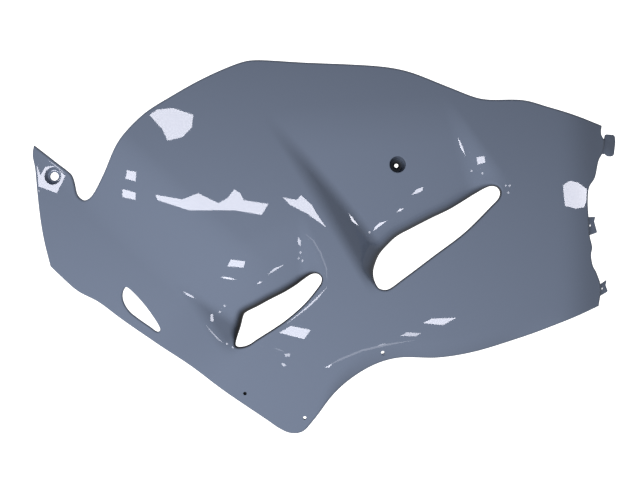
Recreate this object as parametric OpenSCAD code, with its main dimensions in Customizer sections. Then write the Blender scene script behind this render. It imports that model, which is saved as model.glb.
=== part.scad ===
// Right-hand side panel of a motorcycle fairing, moulded in one piece.
// It stands as it is seen from beside the machine: X runs forward, Z up, and the painted
// face looks towards -Y. The origin is the hole of the rear fixing.

/* [Panel] */
// Length of the panel without its front tabs
panel_len = 916; // [820:2:1000]
// Height of the panel
panel_high = 585; // [520:1:650]
// Thickness of the moulded wall
wall = 2.8; // [2.2:0.1:3.2]
// Radius of the rounded outer edge
edge_r = 4; // [3.6:0.1:5]
// Depth of the return lip behind the rounded edge
edge_lip = 6; // [4:0.5:10]

/* [Crown] */
// How far the skin drops back from its crown to the front and rear ends
crown_drop_len = 55; // [40:1:70]
// How far the skin drops back from its crown to the top and bottom
crown_drop_high = 55; // [40:1:70]
// How far the skin turns in along the front edge
front_turn = 30; // [15:1:40]
// How far the upper rear bulge stands out from the flat strip below the rear fixing
bulge_rise = 38; // [20:1:48]
// Width of the slope between the strip and the bulge
bulge_slope_w = 140; // [100:5:180]
// Extra turn of the strip along the wheel arch
arch_turn = 12; // [6:1:16]
// Width of the strip along the wheel arch
arch_strip_w = 34; // [24:1:44]

/* [Large vent] */
// Length of the opening
vent_a_len = 241; // [220:1:255]
// Width of the opening
vent_a_w = 57.6; // [46:0.2:62]
// Angle of the opening above the horizontal
vent_a_tilt = 38; // [34:0.5:42]
// Fall of the scoop floor towards the opening, as a slope
scoop_a_fall = 0.23; // [0.16:0.01:0.28]
// Steepness of the scoop's rear wall beside the opening
scoop_a_wall = 1.05; // [0.8:0.05:1.2]
// Width of the round over which the scoop floor turns in at the opening
vent_a_roll = 26; // [18:1:28]
// Depth of the lip behind the opening
vent_a_lip = 10; // [6:1:15]

/* [Small vent] */
// Length of the opening
vent_b_len = 170; // [150:1:178]
// Width of the opening
vent_b_w = 47; // [36:0.5:52]
// Angle of the opening above the horizontal
vent_b_tilt = 39; // [35:0.5:43]
// Fall of the scoop floor towards the opening, as a slope
scoop_b_fall = 0.33; // [0.22:0.01:0.4]
// Steepness of the end walls of the scoop
scoop_b_wall = 0.75; // [0.6:0.05:0.9]
// Width of the round over which the scoop floor turns in at the opening
vent_b_roll = 17; // [12:1:20]
// Depth of the lip behind the opening
vent_b_lip = 8; // [5:1:12]

/* [Drain slot] */
// Length of the slot
slot_len = 86.6; // [70:0.2:92]
// Width of the slot
slot_w = 25.5; // [20:0.5:28]
// Angle of the slot below the horizontal
slot_tilt = 50; // [46:0.5:54]
// Radius of the slot's edge
slot_r = 3.4; // [3.3:0.1:4]
// Depth of the lip behind the slot
slot_lip = 3; // [2:0.5:6]

/* [Fixings] */
// Diameter of the rear fixing cup at its mouth
rear_cup_d = 27; // [24:0.5:30]
// Diameter of the flat floor of the rear fixing cup
rear_floor_d = 21; // [18:0.5:23]
// Diameter of the grommet hole in the rear fixing
rear_hole_d = 13.5; // [8:0.5:15]
// Depth of the rear fixing cup
rear_cup_depth = 10; // [8:1:14]
// Diameter of the main fixing cup at its mouth
main_cup_d = 25; // [22:0.5:28]
// Diameter of the flat floor of the main fixing cup
main_floor_d = 20; // [16:0.5:21]
// Diameter of the bolt hole in the main fixing
main_hole_d = 6.2; // [5:0.1:12]
// Depth of the main fixing cup
main_cup_depth = 30; // [20:1:34]
// Diameter of the lower screw holes
screw_hole_d = 5.5; // [4:0.1:7]
// Diameter of the bosses behind the screw holes
screw_boss_d = 12; // [10:0.5:14]
// Depth of the bosses behind the skin
screw_boss_depth = 9; // [6:0.5:12]

/* [Front tabs] */
// Thickness of the tabs
tab_t = 2.5; // [2:0.1:4]
// How far behind the skin the face of a tab lies
tab_step = 5; // [4:0.5:7]
// Diameter of the screw holes in the tabs
tab_hole_d = 4.5; // [3:0.1:5]

/* [Hidden] */
paint = "#6f7a8f";

// The free-form outline was laid out on a panel of this size
layout = [916, 585];
stretch = [panel_len / layout[0], panel_high / layout[1]];
function place(p) = [p[0] * stretch[0], p[1] * stretch[1]];

// Places on the edge, as X forward and Z up from the rear fixing
top_edge = [for (p = [
  [-34, 50], [-16, 37], [4, 22], [22, 9], [30, 2], [34, -7], [36, -15], [39, -28],
  [44, -35], [52, -39], [60, -36], [67, -29], [87, 4], [108, 46], [127, 71], [154, 97],
  [191, 121], [247, 153], [303, 177], [321, 180], [397, 176], [528, 169], [566, 161],
  [622, 139], [669, 121], [688, 118], [745, 118], [784, 108], [878, 82]]) place(p)];
bottom_edge = [for (p = [
  [-4, -144], [11, -158], [40, -183], [73, -200], [111, -228], [168, -267], [228, -303],
  [284, -344], [340, -384], [362, -400], [378, -407], [397, -405], [416, -384], [444, -346],
  [472, -320], [509, -297], [546, -286], [611, -286], [668, -277], [743, -254],
  [801, -232], [869, -207]]) place(p)];
rear_edge = [for (p = [
  [-4, -144], [-14, -104], [-20, -72], [-26, -28], [-31, 12], [-36, 35], [-34, 50]])
  place(p)];
front_edge = [for (p = [
  [869, -207], [872, -182], [870, -169], [866, -160], [862, -152], [856, -143],
  [852, -125], [854, -114], [849, -94], [847, -64], [846, -41], [849, -19], [860, -4],
  [869, 25], [876, 36], [881, 57], [876, 68], [878, 82]]) place(p)];

// Smooth steps and blends
function smooth(t) = let(c = max(0, min(1, t))) c * c * (3 - 2 * c);
function soft_max(a, b, k) = let(h = max(k - abs(a - b), 0) / k) max(a, b) + h * h * k / 4;
function soft_min(a, b, k) = -soft_max(-a, -b, k);
function unit(v) = v / norm(v);
function last(list) = list[len(list) - 1];
// Distance of p to the left of a line, and along it
function left_of(p, line) = cross(unit(line[1] - line[0]), p - line[0]);
function along(p, line) = unit(line[1] - line[0]) * (p - line[0]);

// Crown of the skin, before the scoops are sunk into it
crown_at = place([400, -90]);
crown_reach = place([520, 300]);
front_turn_at = place([780, 0])[0];
front_turn_w = 120;
valley = [place([54, -58]), place([165, -159])];
valley_fade_from = 200;
valley_fade_w = 150;
function bulge(p) =
  let(fade = 1 - smooth((along(p, valley) - valley_fade_from) / valley_fade_w))
  bulge_rise * (1 - fade * (1 - smooth(left_of(p, valley) / bulge_slope_w)));
function bare_crown(p) =
  let(u = (p[0] - crown_at[0]) / crown_reach[0], w = (p[1] - crown_at[1]) / crown_reach[1])
  crown_drop_len * u * u + crown_drop_high * w * w
  + front_turn * pow(smooth((p[0] - front_turn_at) / front_turn_w), 2) - bulge(p);
// The skin lies one cup depth in front of the floor of the rear fixing
crown_y = -rear_cup_depth - bare_crown([0, 0]);

// Scoop of the large vent: a floor, a rear wall and a front wall that meet in soft creases
vent_a_at = place([601.3, -90.1]);
function beside_a(p) = vent_a_at + p * vent_a_len / 241;
floor_a = [beside_a([-222, 154]), beside_a([41, 177])];
ridge_a = [beside_a([-256, 185]), beside_a([-97, -89])];
front_a = [beside_a([33, 177]), beside_a([114, 62])];
crease_a = 16;
scoop_a_wall_top = 0.65;
scoop_a_front = 0.7;
scoop_a_end = 46;
function scoop_a(p) =
  let(t = along(p, ridge_a) / norm(ridge_a[1] - ridge_a[0]),
    steep = scoop_a_wall_top + (scoop_a_wall - scoop_a_wall_top) * max(0, min(1, t)),
    floor_y = -scoop_a_fall * left_of(p, floor_a),
    rear_y = steep * left_of(p, ridge_a),
    front_y = -scoop_a_front * left_of(p, front_a),
    y = soft_min(soft_min(floor_y, rear_y, crease_a), front_y, crease_a),
    across = vent_frame(p, vent_a_at, vent_a_tilt)[1])
  soft_max(y, 0, crease_a) * (1 - smooth((scoop_a_end / 2 - across) / scoop_a_end));

// Scoop of the small vent
vent_b_at = place([356.9, -207.3]);
function beside_b(p) = vent_b_at + p * vent_b_len / 170;
floor_b = [beside_b([-136, 34]), beside_b([37, 123])];
rear_b = [beside_b([-144, 29]), beside_b([-64, -63])];
front_b = [beside_b([43, 123]), beside_b([79, 43])];
crease_b = 14;
scoop_b_end = 36;
function scoop_b(p) =
  let(floor_y = -scoop_b_fall * left_of(p, floor_b),
    rear_y = scoop_b_wall * left_of(p, rear_b),
    front_y = -scoop_b_wall * left_of(p, front_b),
    y = soft_min(soft_min(floor_y, rear_y, crease_b), front_y, crease_b),
    across = vent_frame(p, vent_b_at, vent_b_tilt)[1])
  soft_max(y, 0, crease_b) * (1 - smooth((scoop_b_end / 2 - across) / scoop_b_end));

// A place in an opening's own frame, as length along it and height across it
function vent_frame(p, at, tilt) =
  let(d = p - at) [d[0] * cos(tilt) + d[1] * sin(tilt), d[1] * cos(tilt) - d[0] * sin(tilt)];

// Strip along the wheel arch that turns in further than the skin above it
arch_from = place([418, 0])[0];
arch_fade_in = 60;
arch_to = place([700, 0])[0];
arch_fade_out = 110;
function arch(p) =
  let(e = p[1] - lookup(p[0], bottom_line),
    s = smooth((p[0] - arch_from) / arch_fade_in)
      * (1 - smooth((p[0] - arch_to) / arch_fade_out)))
  s * arch_turn * pow(max(0, 1 - e / arch_strip_w), 2);

// Depth of the painted face at a place [x, z], and the direction that the face looks in
function depth(p) = crown_y + bare_crown(p) + scoop_a(p) + scoop_b(p) + arch(p);
step = 1;
function slope(p) = [
  (depth(p + [step, 0]) - depth(p - [step, 0])) / (2 * step),
  (depth(p + [0, step]) - depth(p - [0, step])) / (2 * step)];
function facing(p) = let(s = slope(p)) unit([s[0], -1, s[1]]);

// Smooth curve through a list of places, at t places from its start
function open_ends(pts) = concat([2 * pts[0] - pts[1]], pts,
  [2 * last(pts) - pts[len(pts) - 2]]);
function closed_ends(pts) = concat([last(pts)], pts, [pts[0], pts[1]]);
function between(p, t) =
  let(d0 = sqrt(norm(p[1] - p[0])), d1 = sqrt(norm(p[2] - p[1])), d2 = sqrt(norm(p[3] - p[2])),
    m1 = ((p[1] - p[0]) / d0 - (p[2] - p[0]) / (d0 + d1)) * d1 + p[2] - p[1],
    m2 = ((p[3] - p[2]) / d2 - (p[3] - p[1]) / (d1 + d2)) * d1 + p[2] - p[1])
  (1 + t * t * (2 * t - 3)) * p[1] + t * (1 + t * (t - 2)) * m1
  + t * t * (3 - 2 * t) * p[2] + t * t * (t - 1) * m2;
function curve(ends, t) =
  let(i = max(0, min(len(ends) - 4, floor(t)))) between([for (k = [0:3]) ends[i + k]], t - i);
fine = 6;
function drawn(pts) =
  let(ends = open_ends(pts)) [for (k = [0:(len(pts) - 1) * fine]) curve(ends, k / fine)];
top_line = drawn(top_edge);
bottom_line = drawn(bottom_edge);
rear_line = [for (p = drawn(rear_edge)) [p[1], p[0]]];
front_line = [for (p = drawn(front_edge)) [p[1], p[0]]];

// Grid of the skin: columns run from the rear edge to the front, rows from bottom to top
columns = 56;
rows = 26;
column_x = [[0, -34], [3, 29], [4, 36], [5, 41], [6, 50], [7, 61], [8, 73], [10, 108],
  [24, 322], [32, 432], [56, 878]];
column_x_low = [[0, -4], [4, 40], [10, 111], [24, 322], [32, 432], [56, 869]];
function top_node(i) =
  let(x = lookup(i, column_x) * stretch[0]) [x, lookup(x, top_line)];
function bottom_node(i) =
  let(x = lookup(i, column_x_low) * stretch[0]) [x, lookup(x, bottom_line)];
function rear_node(j) =
  let(z = rear_edge[0][1] + (last(rear_edge)[1] - rear_edge[0][1]) * j / rows)
  [lookup(z, rear_line), z];
function front_node(j) =
  let(z = front_edge[0][1] + (last(front_edge)[1] - front_edge[0][1]) * j / rows)
  [lookup(z, front_line), z];
// The whole edge, clockwise as it is seen from outside, from its lower rear corner
edge_nodes = concat(
  [for (j = [0:rows - 1]) rear_node(j)],
  [for (i = [0:columns - 1]) top_node(i)],
  [for (j = [rows:-1:1]) front_node(j)],
  [for (i = [columns:-1:1]) bottom_node(i)]);

// Direction away from the material at each place of a clockwise loop, and its mitre
function loop_out(loop, side) = [for (k = [0:len(loop) - 1])
  let(a = loop[(k + len(loop) - 1) % len(loop)], b = loop[k], c = loop[(k + 1) % len(loop)],
    t0 = unit(b - a), t = unit(t0 + unit(c - b)), n = [-t[1], t[0]] * side)
  concat(n, [min(2.2, 1 / max(0.1, [-t0[1], t0[0]] * side * n))])];
edge_out = loop_out(edge_nodes, 1);
function inset(loop, out, r) = [for (k = [0:len(loop) - 1])
  let(d = is_list(r) ? r[k] : r) loop[k] - [out[k][0], out[k][1]] * out[k][2] * d];
edge_inset = inset(edge_nodes, edge_out, edge_r);
function edge_index(i, j) =
  i == 0 ? j : j == rows ? rows + i : i == columns ? 2 * rows + columns - j
  : 2 * (rows + columns) - i;
function grid_place(i, j) =
  let(u = i / columns, v = j / rows,
    b = edge_inset[edge_index(i, 0) % len(edge_inset)], t = edge_inset[edge_index(i, rows)],
    l = edge_inset[edge_index(0, j)], r = edge_inset[edge_index(columns, j)],
    bl = edge_inset[0], tl = edge_inset[rows],
    tr = edge_inset[rows + columns], br = edge_inset[2 * rows + columns])
  (1 - v) * b + v * t + (1 - u) * l + u * r
  - (1 - u) * (1 - v) * bl - u * (1 - v) * br - (1 - u) * v * tl - u * v * tr;

// A place on the skin holds its point and the direction out of the face there
function on_skin(p) = [[p[0], depth(p), p[1]], facing(p)];
// A place on the round at an edge, at the angle th from the skin, for a round w wide and d deep
function on_round(edge, out, w, d, th) =
  let(n = [out[0], out[1]] * out[2], p = edge - n * w * (1 - sin(th)), f = facing(p),
    away = unit(w * cos(th) * f + d * sin(th) * [out[0], 0, out[1]]))
  [[p[0], depth(p) + d * (1 - cos(th)), p[1]],
    [away[0] * (1 + (out[2] - 1) * sin(th)), away[1] * cos(th),
      away[2] * (1 + (out[2] - 1) * sin(th))]];
function on_lip(edge, out, d, lip) =
  [[edge[0], depth(edge) + d + lip, edge[1]], [out[0] * out[2], 0, out[1] * out[2]]];

// Openings: unit outline, the corners of the block of grid cells that it replaces,
// and where along the outline those corners are joined
unit_a = [[-1, -0.49], [-0.98, -0.01], [-0.93, 0.29], [-0.85, 0.54], [-0.73, 0.79],
  [-0.56, 0.94], [-0.39, 1], [-0.17, 0.85], [0.11, 0.63], [0.38, 0.39], [0.77, 0.21],
  [0.9, 0.14], [0.96, 0.04], [1, -0.19], [0.99, -0.49], [0.93, -0.68], [0.78, -0.78],
  [0.3, -1], [-0.19, -0.96], [-0.67, -0.92], [-0.91, -0.87], [-0.96, -0.75]];
unit_b = [[-1, -0.2], [-0.92, 0.08], [-0.77, 0.47], [-0.56, 1], [-0.47, 1], [-0.28, 0.85],
  [0, 0.67], [0.28, 0.46], [0.54, 0.34], [0.72, 0.32], [0.9, 0.26], [0.98, 0.07],
  [1, -0.25], [0.94, -0.52], [0.82, -0.67], [0.45, -0.94], [-0.03, -1], [-0.62, -0.8],
  [-0.8, -0.74], [-0.92, -0.58], [-1, -0.34]];
unit_c = [[-0.74, -0.64], [-0.89, -0.24], [-0.98, 0.25], [-1, 0.64], [-0.92, 0.79],
  [-0.68, 0.92], [-0.28, 1], [0.17, 0.96], [0.61, 0.8], [0.88, 0.63], [0.99, 0.45],
  [1, 0.13], [0.91, -0.09], [0.71, -0.25], [0.44, -0.5], [0.11, -0.79], [-0.22, -1],
  [-0.53, -0.91]];
slot_at = place([140.2, -214.7]);
function outline(shape, at, len, w, tilt) = [for (q = shape)
  let(a = q[0] * len / 2, b = q[1] * w / 2)
  at + [a * cos(tilt) - b * sin(tilt), a * sin(tilt) + b * cos(tilt)]];
// Each opening: its outline, the first and last cell of its block, the joints, and the number
// of rings of patches round it
opening_a = [outline(unit_a, vent_a_at, vent_a_len, vent_a_w, vent_a_tilt),
  [34, 5], [49, 18], [0, 5.5, 12, 17], 4];
opening_b = [outline(unit_b, vent_b_at, vent_b_len, vent_b_w, vent_b_tilt),
  [20, 3], [33, 13], [0, 5.5, 11, 16], 4];
opening_c = [outline(unit_c, slot_at, slot_len, slot_w, -slot_tilt),
  [9, 1], [16, 6], [0, 4, 9, 12], 2];
openings = [opening_a, opening_b, opening_c];

function block_loop(c0, c1) = concat(
  [for (j = [c0[1]:c1[1] - 1]) grid_place(c0[0], j)],
  [for (i = [c0[0]:c1[0] - 1]) grid_place(i, c1[1])],
  [for (j = [c1[1]:-1:c0[1] + 1]) grid_place(c1[0], j)],
  [for (i = [c1[0]:-1:c0[0] + 1]) grid_place(i, c0[1])]);
function outline_loop(o) =
  let(ends = closed_ends(o[0]), a = o[2][0] - o[1][0], b = o[2][1] - o[1][1], t = o[3],
    stops = [[0, t[0]], [b, t[1]], [a + b, t[2]], [a + 2 * b, t[3]],
      [2 * (a + b), len(o[0])]])
  [for (k = [0:2 * (a + b) - 1]) curve(ends, lookup(k, stops))];

loops = [for (o = openings) outline_loop(o)];
outs = [for (l = loops) loop_out(l, -1)];
// The round at a vent is widest where the scoop beside it is at least this deep
full_roll_a = 36;
full_roll_b = 22;
function round_of(which, p) =
  which == 0 ? edge_r + (vent_a_roll - edge_r) * smooth(scoop_a(p) / full_roll_a)
  : which == 1 ? edge_r + (vent_b_roll - edge_r) * smooth(scoop_b(p) / full_roll_b) : slot_r;
rounds = [for (m = [0:2]) [for (p = loops[m]) round_of(m, p)]];
starts = [for (m = [0:2]) inset(loops[m], outs[m], rounds[m])];
lips = [vent_a_lip, vent_b_lip, slot_lip];
bends = [30, 60, 90];

// Rows of places, from the skin to the end of the lip
function ring_rows(m) =
  let(o = openings[m], block = block_loop(o[1], o[2]), n = len(block) - 1)
  concat(
    [for (r = [1:o[4]]) [for (k = [0:n])
      on_skin(block[k] + (starts[m][k] - block[k]) * r / o[4])]],
    [for (th = bends) [for (k = [0:n])
      on_round(loops[m][k], outs[m][k], rounds[m][k], rounds[m][k], th)]],
    [[for (k = [0:n]) on_lip(loops[m][k], outs[m][k], rounds[m][k], lips[m])]]);
edge_bends = [45, 90];
edge_rows = concat(
  [for (th = edge_bends) [for (k = [0:len(edge_nodes) - 1])
    on_round(edge_nodes[k], edge_out[k], edge_r, edge_r, th)]],
  [[for (k = [0:len(edge_nodes) - 1])
    on_lip(edge_nodes[k], edge_out[k], edge_r, edge_lip)]]);
grid_rows = [for (j = [0:rows]) [for (i = [0:columns]) on_skin(grid_place(i, j))]];
all_rings = [for (m = [0:2]) ring_rows(m)];

// All places in one list, and where each part of it starts
function flat(rows_in) = [for (r = rows_in) each r];
places = concat(flat(grid_rows), flat(edge_rows), flat(all_rings[0]), flat(all_rings[1]),
  flat(all_rings[2]));
edge_n = len(edge_nodes);
edge_from = (rows + 1) * (columns + 1);
ring_from_a = edge_from + len(edge_rows) * edge_n;
ring_from_b = ring_from_a + len(all_rings[0]) * len(loops[0]);
ring_from_c = ring_from_b + len(all_rings[1]) * len(loops[1]);
ring_from = [ring_from_a, ring_from_b, ring_from_c];
function grid_id(i, j) = j * (columns + 1) + i;
function edge_id(r, k) = edge_from + r * edge_n + k % edge_n;
function edge_grid_id(k) =
  let(q = k % edge_n)
  q <= rows ? grid_id(0, q) : q <= rows + columns ? grid_id(q - rows, rows)
  : q <= 2 * rows + columns ? grid_id(columns, 2 * rows + columns - q)
  : grid_id(edge_n - q, 0);
function ring_id(m, r, k) = ring_from[m] + r * len(loops[m]) + k % len(loops[m]);
function block_id(m, k) =
  let(c0 = openings[m][1], c1 = openings[m][2], a = c1[0] - c0[0], b = c1[1] - c0[1],
    q = k % (2 * (a + b)))
  q <= b ? grid_id(c0[0], c0[1] + q) : q <= a + b ? grid_id(c0[0] + q - b, c1[1])
  : q <= a + 2 * b ? grid_id(c1[0], c1[1] - (q - a - b))
  : grid_id(c1[0] - (q - a - 2 * b), c0[1]);
function in_block(i, j, o) = i >= o[1][0] && i < o[2][0] && j >= o[1][1] && j < o[2][1];
function open_cell(i, j) = in_block(i, j, opening_a) || in_block(i, j, opening_b)
  || in_block(i, j, opening_c);

// Four-sided patches of the painted face, clockwise from outside
grid_patches = [for (j = [0:rows - 1]) for (i = [0:columns - 1]) if (!open_cell(i, j))
  [grid_id(i, j), grid_id(i, j + 1), grid_id(i + 1, j + 1), grid_id(i + 1, j)]];
edge_patches = concat(
  [for (k = [0:edge_n - 1])
    [edge_id(0, k), edge_id(0, k + 1), edge_grid_id(k + 1), edge_grid_id(k)]],
  [for (r = [0:len(edge_rows) - 2]) for (k = [0:edge_n - 1])
    [edge_id(r + 1, k), edge_id(r + 1, k + 1), edge_id(r, k + 1), edge_id(r, k)]]);
ring_patches = [for (m = [0:2]) each concat(
  [for (k = [0:len(loops[m]) - 1])
    [block_id(m, k), block_id(m, k + 1), ring_id(m, 0, k + 1), ring_id(m, 0, k)]],
  [for (r = [0:len(all_rings[m]) - 2]) for (k = [0:len(loops[m]) - 1])
    [ring_id(m, r, k), ring_id(m, r, k + 1), ring_id(m, r + 1, k + 1), ring_id(m, r + 1, k)]])];
face_patches = concat(grid_patches, edge_patches, ring_patches);
back = len(places);
lip_patches = concat(
  [for (k = [0:edge_n - 1]) let(r = len(edge_rows) - 1)
    [edge_id(r, k) + back, edge_id(r, k + 1) + back, edge_id(r, k + 1), edge_id(r, k)]],
  [for (m = [0:2]) for (k = [0:len(loops[m]) - 1]) let(r = len(all_rings[m]) - 1)
    [ring_id(m, r, k), ring_id(m, r, k + 1), ring_id(m, r, k + 1) + back,
      ring_id(m, r, k) + back]]);
function halves(q) = [[q[0], q[1], q[2]], [q[0], q[2], q[3]]];
function back_halves(q) = [for (t = halves(q)) [t[0] + back, t[2] + back, t[1] + back]];

// Places of the fixings, and the taper of a cup as a share of its depth
rear_at = [0, 0];
main_at = place([545, 15]);
main_floor_y = depth(main_at) + main_cup_depth;
screw_at = [place([308, -341]), place([401, -381]), place([522, -276])];
// The rear boss is closed behind by an end this thick
blind_screw = 0;
boss_end = 2;
cup_taper = 0.7;

// Front tabs: place on the front edge, then corners as forward, up and radius
hook_at = place([872, 46]);
hook_shape = [[-12, -11, 0], [16, -9, 0], [22, -12.5, 3], [35, -12.5, 8], [42.5, 11, 12],
  [43.5, 23.5, 5], [22, 23.5, 3], [16, 11, 0], [4, 15, 0], [-12, 15, 0]];
middle_tab = [place([846, -79]), [[-12, -18, 0], [5, -16, 0], [24, -11, 2], [17.5, 6.5, 0],
  [20, 14, 1], [-12, 13, 0]], [9.5, 0]];
lower_tab = [place([869, -182]), [[-12, -16, 0], [7, -10, 0], [25, -3, 2], [18.5, 7.5, 0],
  [20, 15, 0], [8, 9, 0], [4, 12, 0], [-12, 10, 0]], [12, 2]];
screw_tabs = [middle_tab, lower_tab];

// The moulded skin with its rounded edges, scoops, openings and lips
module skin() {
  polyhedron(
    points = concat([for (s = places) s[0]], [for (s = places) s[0] - s[1] * wall]),
    faces = concat([for (q = face_patches) each halves(q)],
      [for (q = face_patches) each back_halves(q)],
      [for (q = lip_patches) each halves(q)]),
    convexity = 8);
}

// How far a cup, a boss or a hole runs past the skin before it is trimmed
past = 14;
// Cuts away what stands in front of the skin's own plane at a place, less a margin
module behind_skin(at, margin) {
  s = slope(at);
  turn = atan(s[0]);
  side = 8 * past;
  difference() {
    children();
    translate([at[0], depth(at) + margin, at[1]]) rotate([-atan(s[1] * cos(turn)), 0, turn])
      translate([-side / 2, -side, -side / 2]) cube(side);
  }
}

// A turned form that stands on the floor of a fixing and grows towards the painted face
module turned(at, floor_y, profile) {
  translate([at[0], floor_y, at[1]]) rotate([90, 0, 0]) rotate_extrude($fn = 64) polygon(profile);
}

// A fixing cup: its wall, and the space that is taken out of it and of the skin
module cup_wall(at, floor_y, mouth_d, floor_d, deep) {
  behind_skin(at, wall / 3)
    turned(at, floor_y, [[0, -wall], [floor_d / 2 + wall, -wall],
      [floor_d / 2 + wall, 0], [mouth_d / 2 + wall, deep * cup_taper],
      [mouth_d / 2 + wall, deep + past], [0, deep + past]]);
}
module cup_space(at, floor_y, mouth_d, floor_d, deep, hole_d) {
  turned(at, floor_y, [[0, 0], [floor_d / 2, 0], [mouth_d / 2, deep * cup_taper],
    [mouth_d / 2, deep + 2 * past], [0, deep + 2 * past]]);
  translate([at[0], floor_y + wall + 1, at[1]]) rotate([90, 0, 0])
    cylinder(d = hole_d, h = wall + 2, $fn = 48);
}

// A boss behind the skin for a screw, and its hole, which stops short of the end of a blind boss
module screw_boss(at) {
  behind_skin(at, wall / 3)
    translate([at[0], depth(at) + screw_boss_depth, at[1]]) rotate([90, 0, 0])
      cylinder(d = screw_boss_d, h = screw_boss_depth + past, $fn = 40);
}
module screw_hole(at, blind) {
  translate([at[0], depth(at) + screw_boss_depth + (blind ? -boss_end : 1), at[1]])
    rotate([90, 0, 0]) cylinder(d = screw_hole_d, h = screw_boss_depth + 2 * past, $fn = 40);
}

// A flat shape with some of its corners rounded, each corner as [x, z, radius]
module rounded_shape(corners) {
  n = len(corners);
  rounds = [for (k = [0:n - 1]) let(c = corners[k], p = [c[0], c[1]],
    a = corners[(k + n - 1) % n], b = corners[(k + 1) % n],
    u = unit([a[0], a[1]] - p), v = unit([b[0], b[1]] - p), half = acos(u * v) / 2)
    [p + u * c[2] / tan(half), p + v * c[2] / tan(half), p + unit(u + v) * c[2] / sin(half), c[2]]];
  polygon([for (q = rounds) each q[3] > 0 ? [q[0], q[1]] : [q[0]]]);
  for (q = rounds) if (q[3] > 0) translate(q[2]) circle(r = q[3], $fn = 24);
}

// A tab behind the front edge: a flat plate that follows the fall of the skin
module on_front_edge(at) {
  s = slope(at);
  turn = atan(s[0]);
  translate([at[0], depth(at), at[1]]) rotate([-atan(s[1] * cos(turn)), 0, turn])
    translate([0, tab_step, 0]) children();
}
module tab_plate(corners) {
  translate([0, tab_t, 0]) rotate([90, 0, 0]) linear_extrude(tab_t) rounded_shape(corners);
}
module tab_hole(x, z) {
  translate([x, tab_t + 1, z]) rotate([90, 0, 0]) cylinder(d = tab_hole_d, h = tab_t + 2, $fn = 32);
}

module front_tabs() {
  on_front_edge(hook_at) tab_plate(hook_shape);
  for (t = screw_tabs) on_front_edge(t[0]) tab_plate(t[1]);
}

module fairing_panel() {
  color(paint) difference() {
    union() {
      skin();
      cup_wall(rear_at, 0, rear_cup_d, rear_floor_d, rear_cup_depth);
      cup_wall(main_at, main_floor_y, main_cup_d, main_floor_d, main_cup_depth);
      for (p = screw_at) screw_boss(p);
      front_tabs();
    }
    cup_space(rear_at, 0, rear_cup_d, rear_floor_d, rear_cup_depth, rear_hole_d);
    cup_space(main_at, main_floor_y, main_cup_d, main_floor_d, main_cup_depth, main_hole_d);
    for (k = [0:len(screw_at) - 1]) screw_hole(screw_at[k], k == blind_screw);
    for (t = screw_tabs) on_front_edge(t[0]) tab_hole(t[2][0], t[2][1]);
  }
}

fairing_panel();
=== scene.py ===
"""Right-hand side panel of a motorcycle fairing, dressed and lit as in its photograph.

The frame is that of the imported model: X runs forward, Z up, the painted face looks towards -Y
and the origin is the hole of the rear fixing. Shapes are worked out in millimetres and turned
into metres once, when a mesh is written.
"""

import logging
import math
from dataclasses import dataclass, field
from enum import IntEnum

import bpy
import numpy as np
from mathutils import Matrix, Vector
from mathutils.geometry import delaunay_2d_cdt

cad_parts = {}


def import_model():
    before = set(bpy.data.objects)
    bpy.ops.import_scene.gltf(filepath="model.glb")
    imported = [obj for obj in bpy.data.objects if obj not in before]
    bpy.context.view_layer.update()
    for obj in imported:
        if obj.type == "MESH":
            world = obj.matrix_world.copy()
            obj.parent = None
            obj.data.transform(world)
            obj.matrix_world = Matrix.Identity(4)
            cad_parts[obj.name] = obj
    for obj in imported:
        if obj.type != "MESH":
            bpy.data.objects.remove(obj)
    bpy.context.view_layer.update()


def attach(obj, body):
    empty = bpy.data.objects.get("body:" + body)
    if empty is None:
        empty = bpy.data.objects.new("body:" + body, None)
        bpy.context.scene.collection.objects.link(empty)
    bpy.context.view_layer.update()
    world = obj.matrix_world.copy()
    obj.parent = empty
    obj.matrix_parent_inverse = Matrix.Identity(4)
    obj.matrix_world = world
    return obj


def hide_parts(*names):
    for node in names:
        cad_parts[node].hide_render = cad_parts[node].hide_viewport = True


log = logging.getLogger("fairing")
Array = np.ndarray
MM = 0.001
NODE = "fairing_panel"
WALL = 2.8
SCREW_HOLE = 5.5
SHARP_FROM = math.radians(40)
LONGEST_MITRE = 2.2
SAME_PLACE = 1e-6


class Side(IntEnum):
    """Which face of the moulding a surface belongs to; the value is its material slot."""

    PAINTED = 0
    BARE = 1


def smooth(t: Array) -> Array:
    """Smooth step from 0 to 1."""
    c = np.clip(t, 0.0, 1.0)
    return c * c * (3.0 - 2.0 * c)


def soft_max(a: Array, b: Array, k: float) -> Array:
    """The larger of two values, rounded over where they cross."""
    h = np.maximum(k - np.abs(a - b), 0.0) / k
    return np.maximum(a, b) + h * h * k / 4.0


def soft_min(a: Array, b: Array, k: float) -> Array:
    """The smaller of two values, rounded over where they cross."""
    return -soft_max(-a, -b, k)


def unit(v: Array) -> Array:
    """Vectors of length one along v."""
    return v / np.linalg.norm(v, axis=-1, keepdims=True)


def table(*rows: tuple[float, float]) -> Array:
    """Places in millimetres as an array, one to a row."""
    return np.array(rows, dtype=float)


def circle(steps: int, radius: Array | float) -> Array:
    """Places round the origin, anticlockwise, with one radius for all of them or one to each."""
    a = np.arange(steps) * 2 * math.pi / steps
    return np.stack([np.cos(a), np.sin(a)], axis=1) * np.reshape(radius, (-1, 1))


def lifted(p: Array, y: Array | float) -> Array:
    """Points at places of the side view, at the given depths."""
    return np.stack([p[..., 0], np.broadcast_to(y, p.shape[:-1]), p[..., 1]], axis=-1)


def added(name: str, data: bpy.types.ID) -> bpy.types.Object:
    """A new object of the scene.

    Args:
        name: its name.
        data: its mesh, lamp or camera.

    Returns:
        The object.
    """
    item = bpy.data.objects.new(name, data)
    bpy.context.scene.collection.objects.link(item)
    return item


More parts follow.
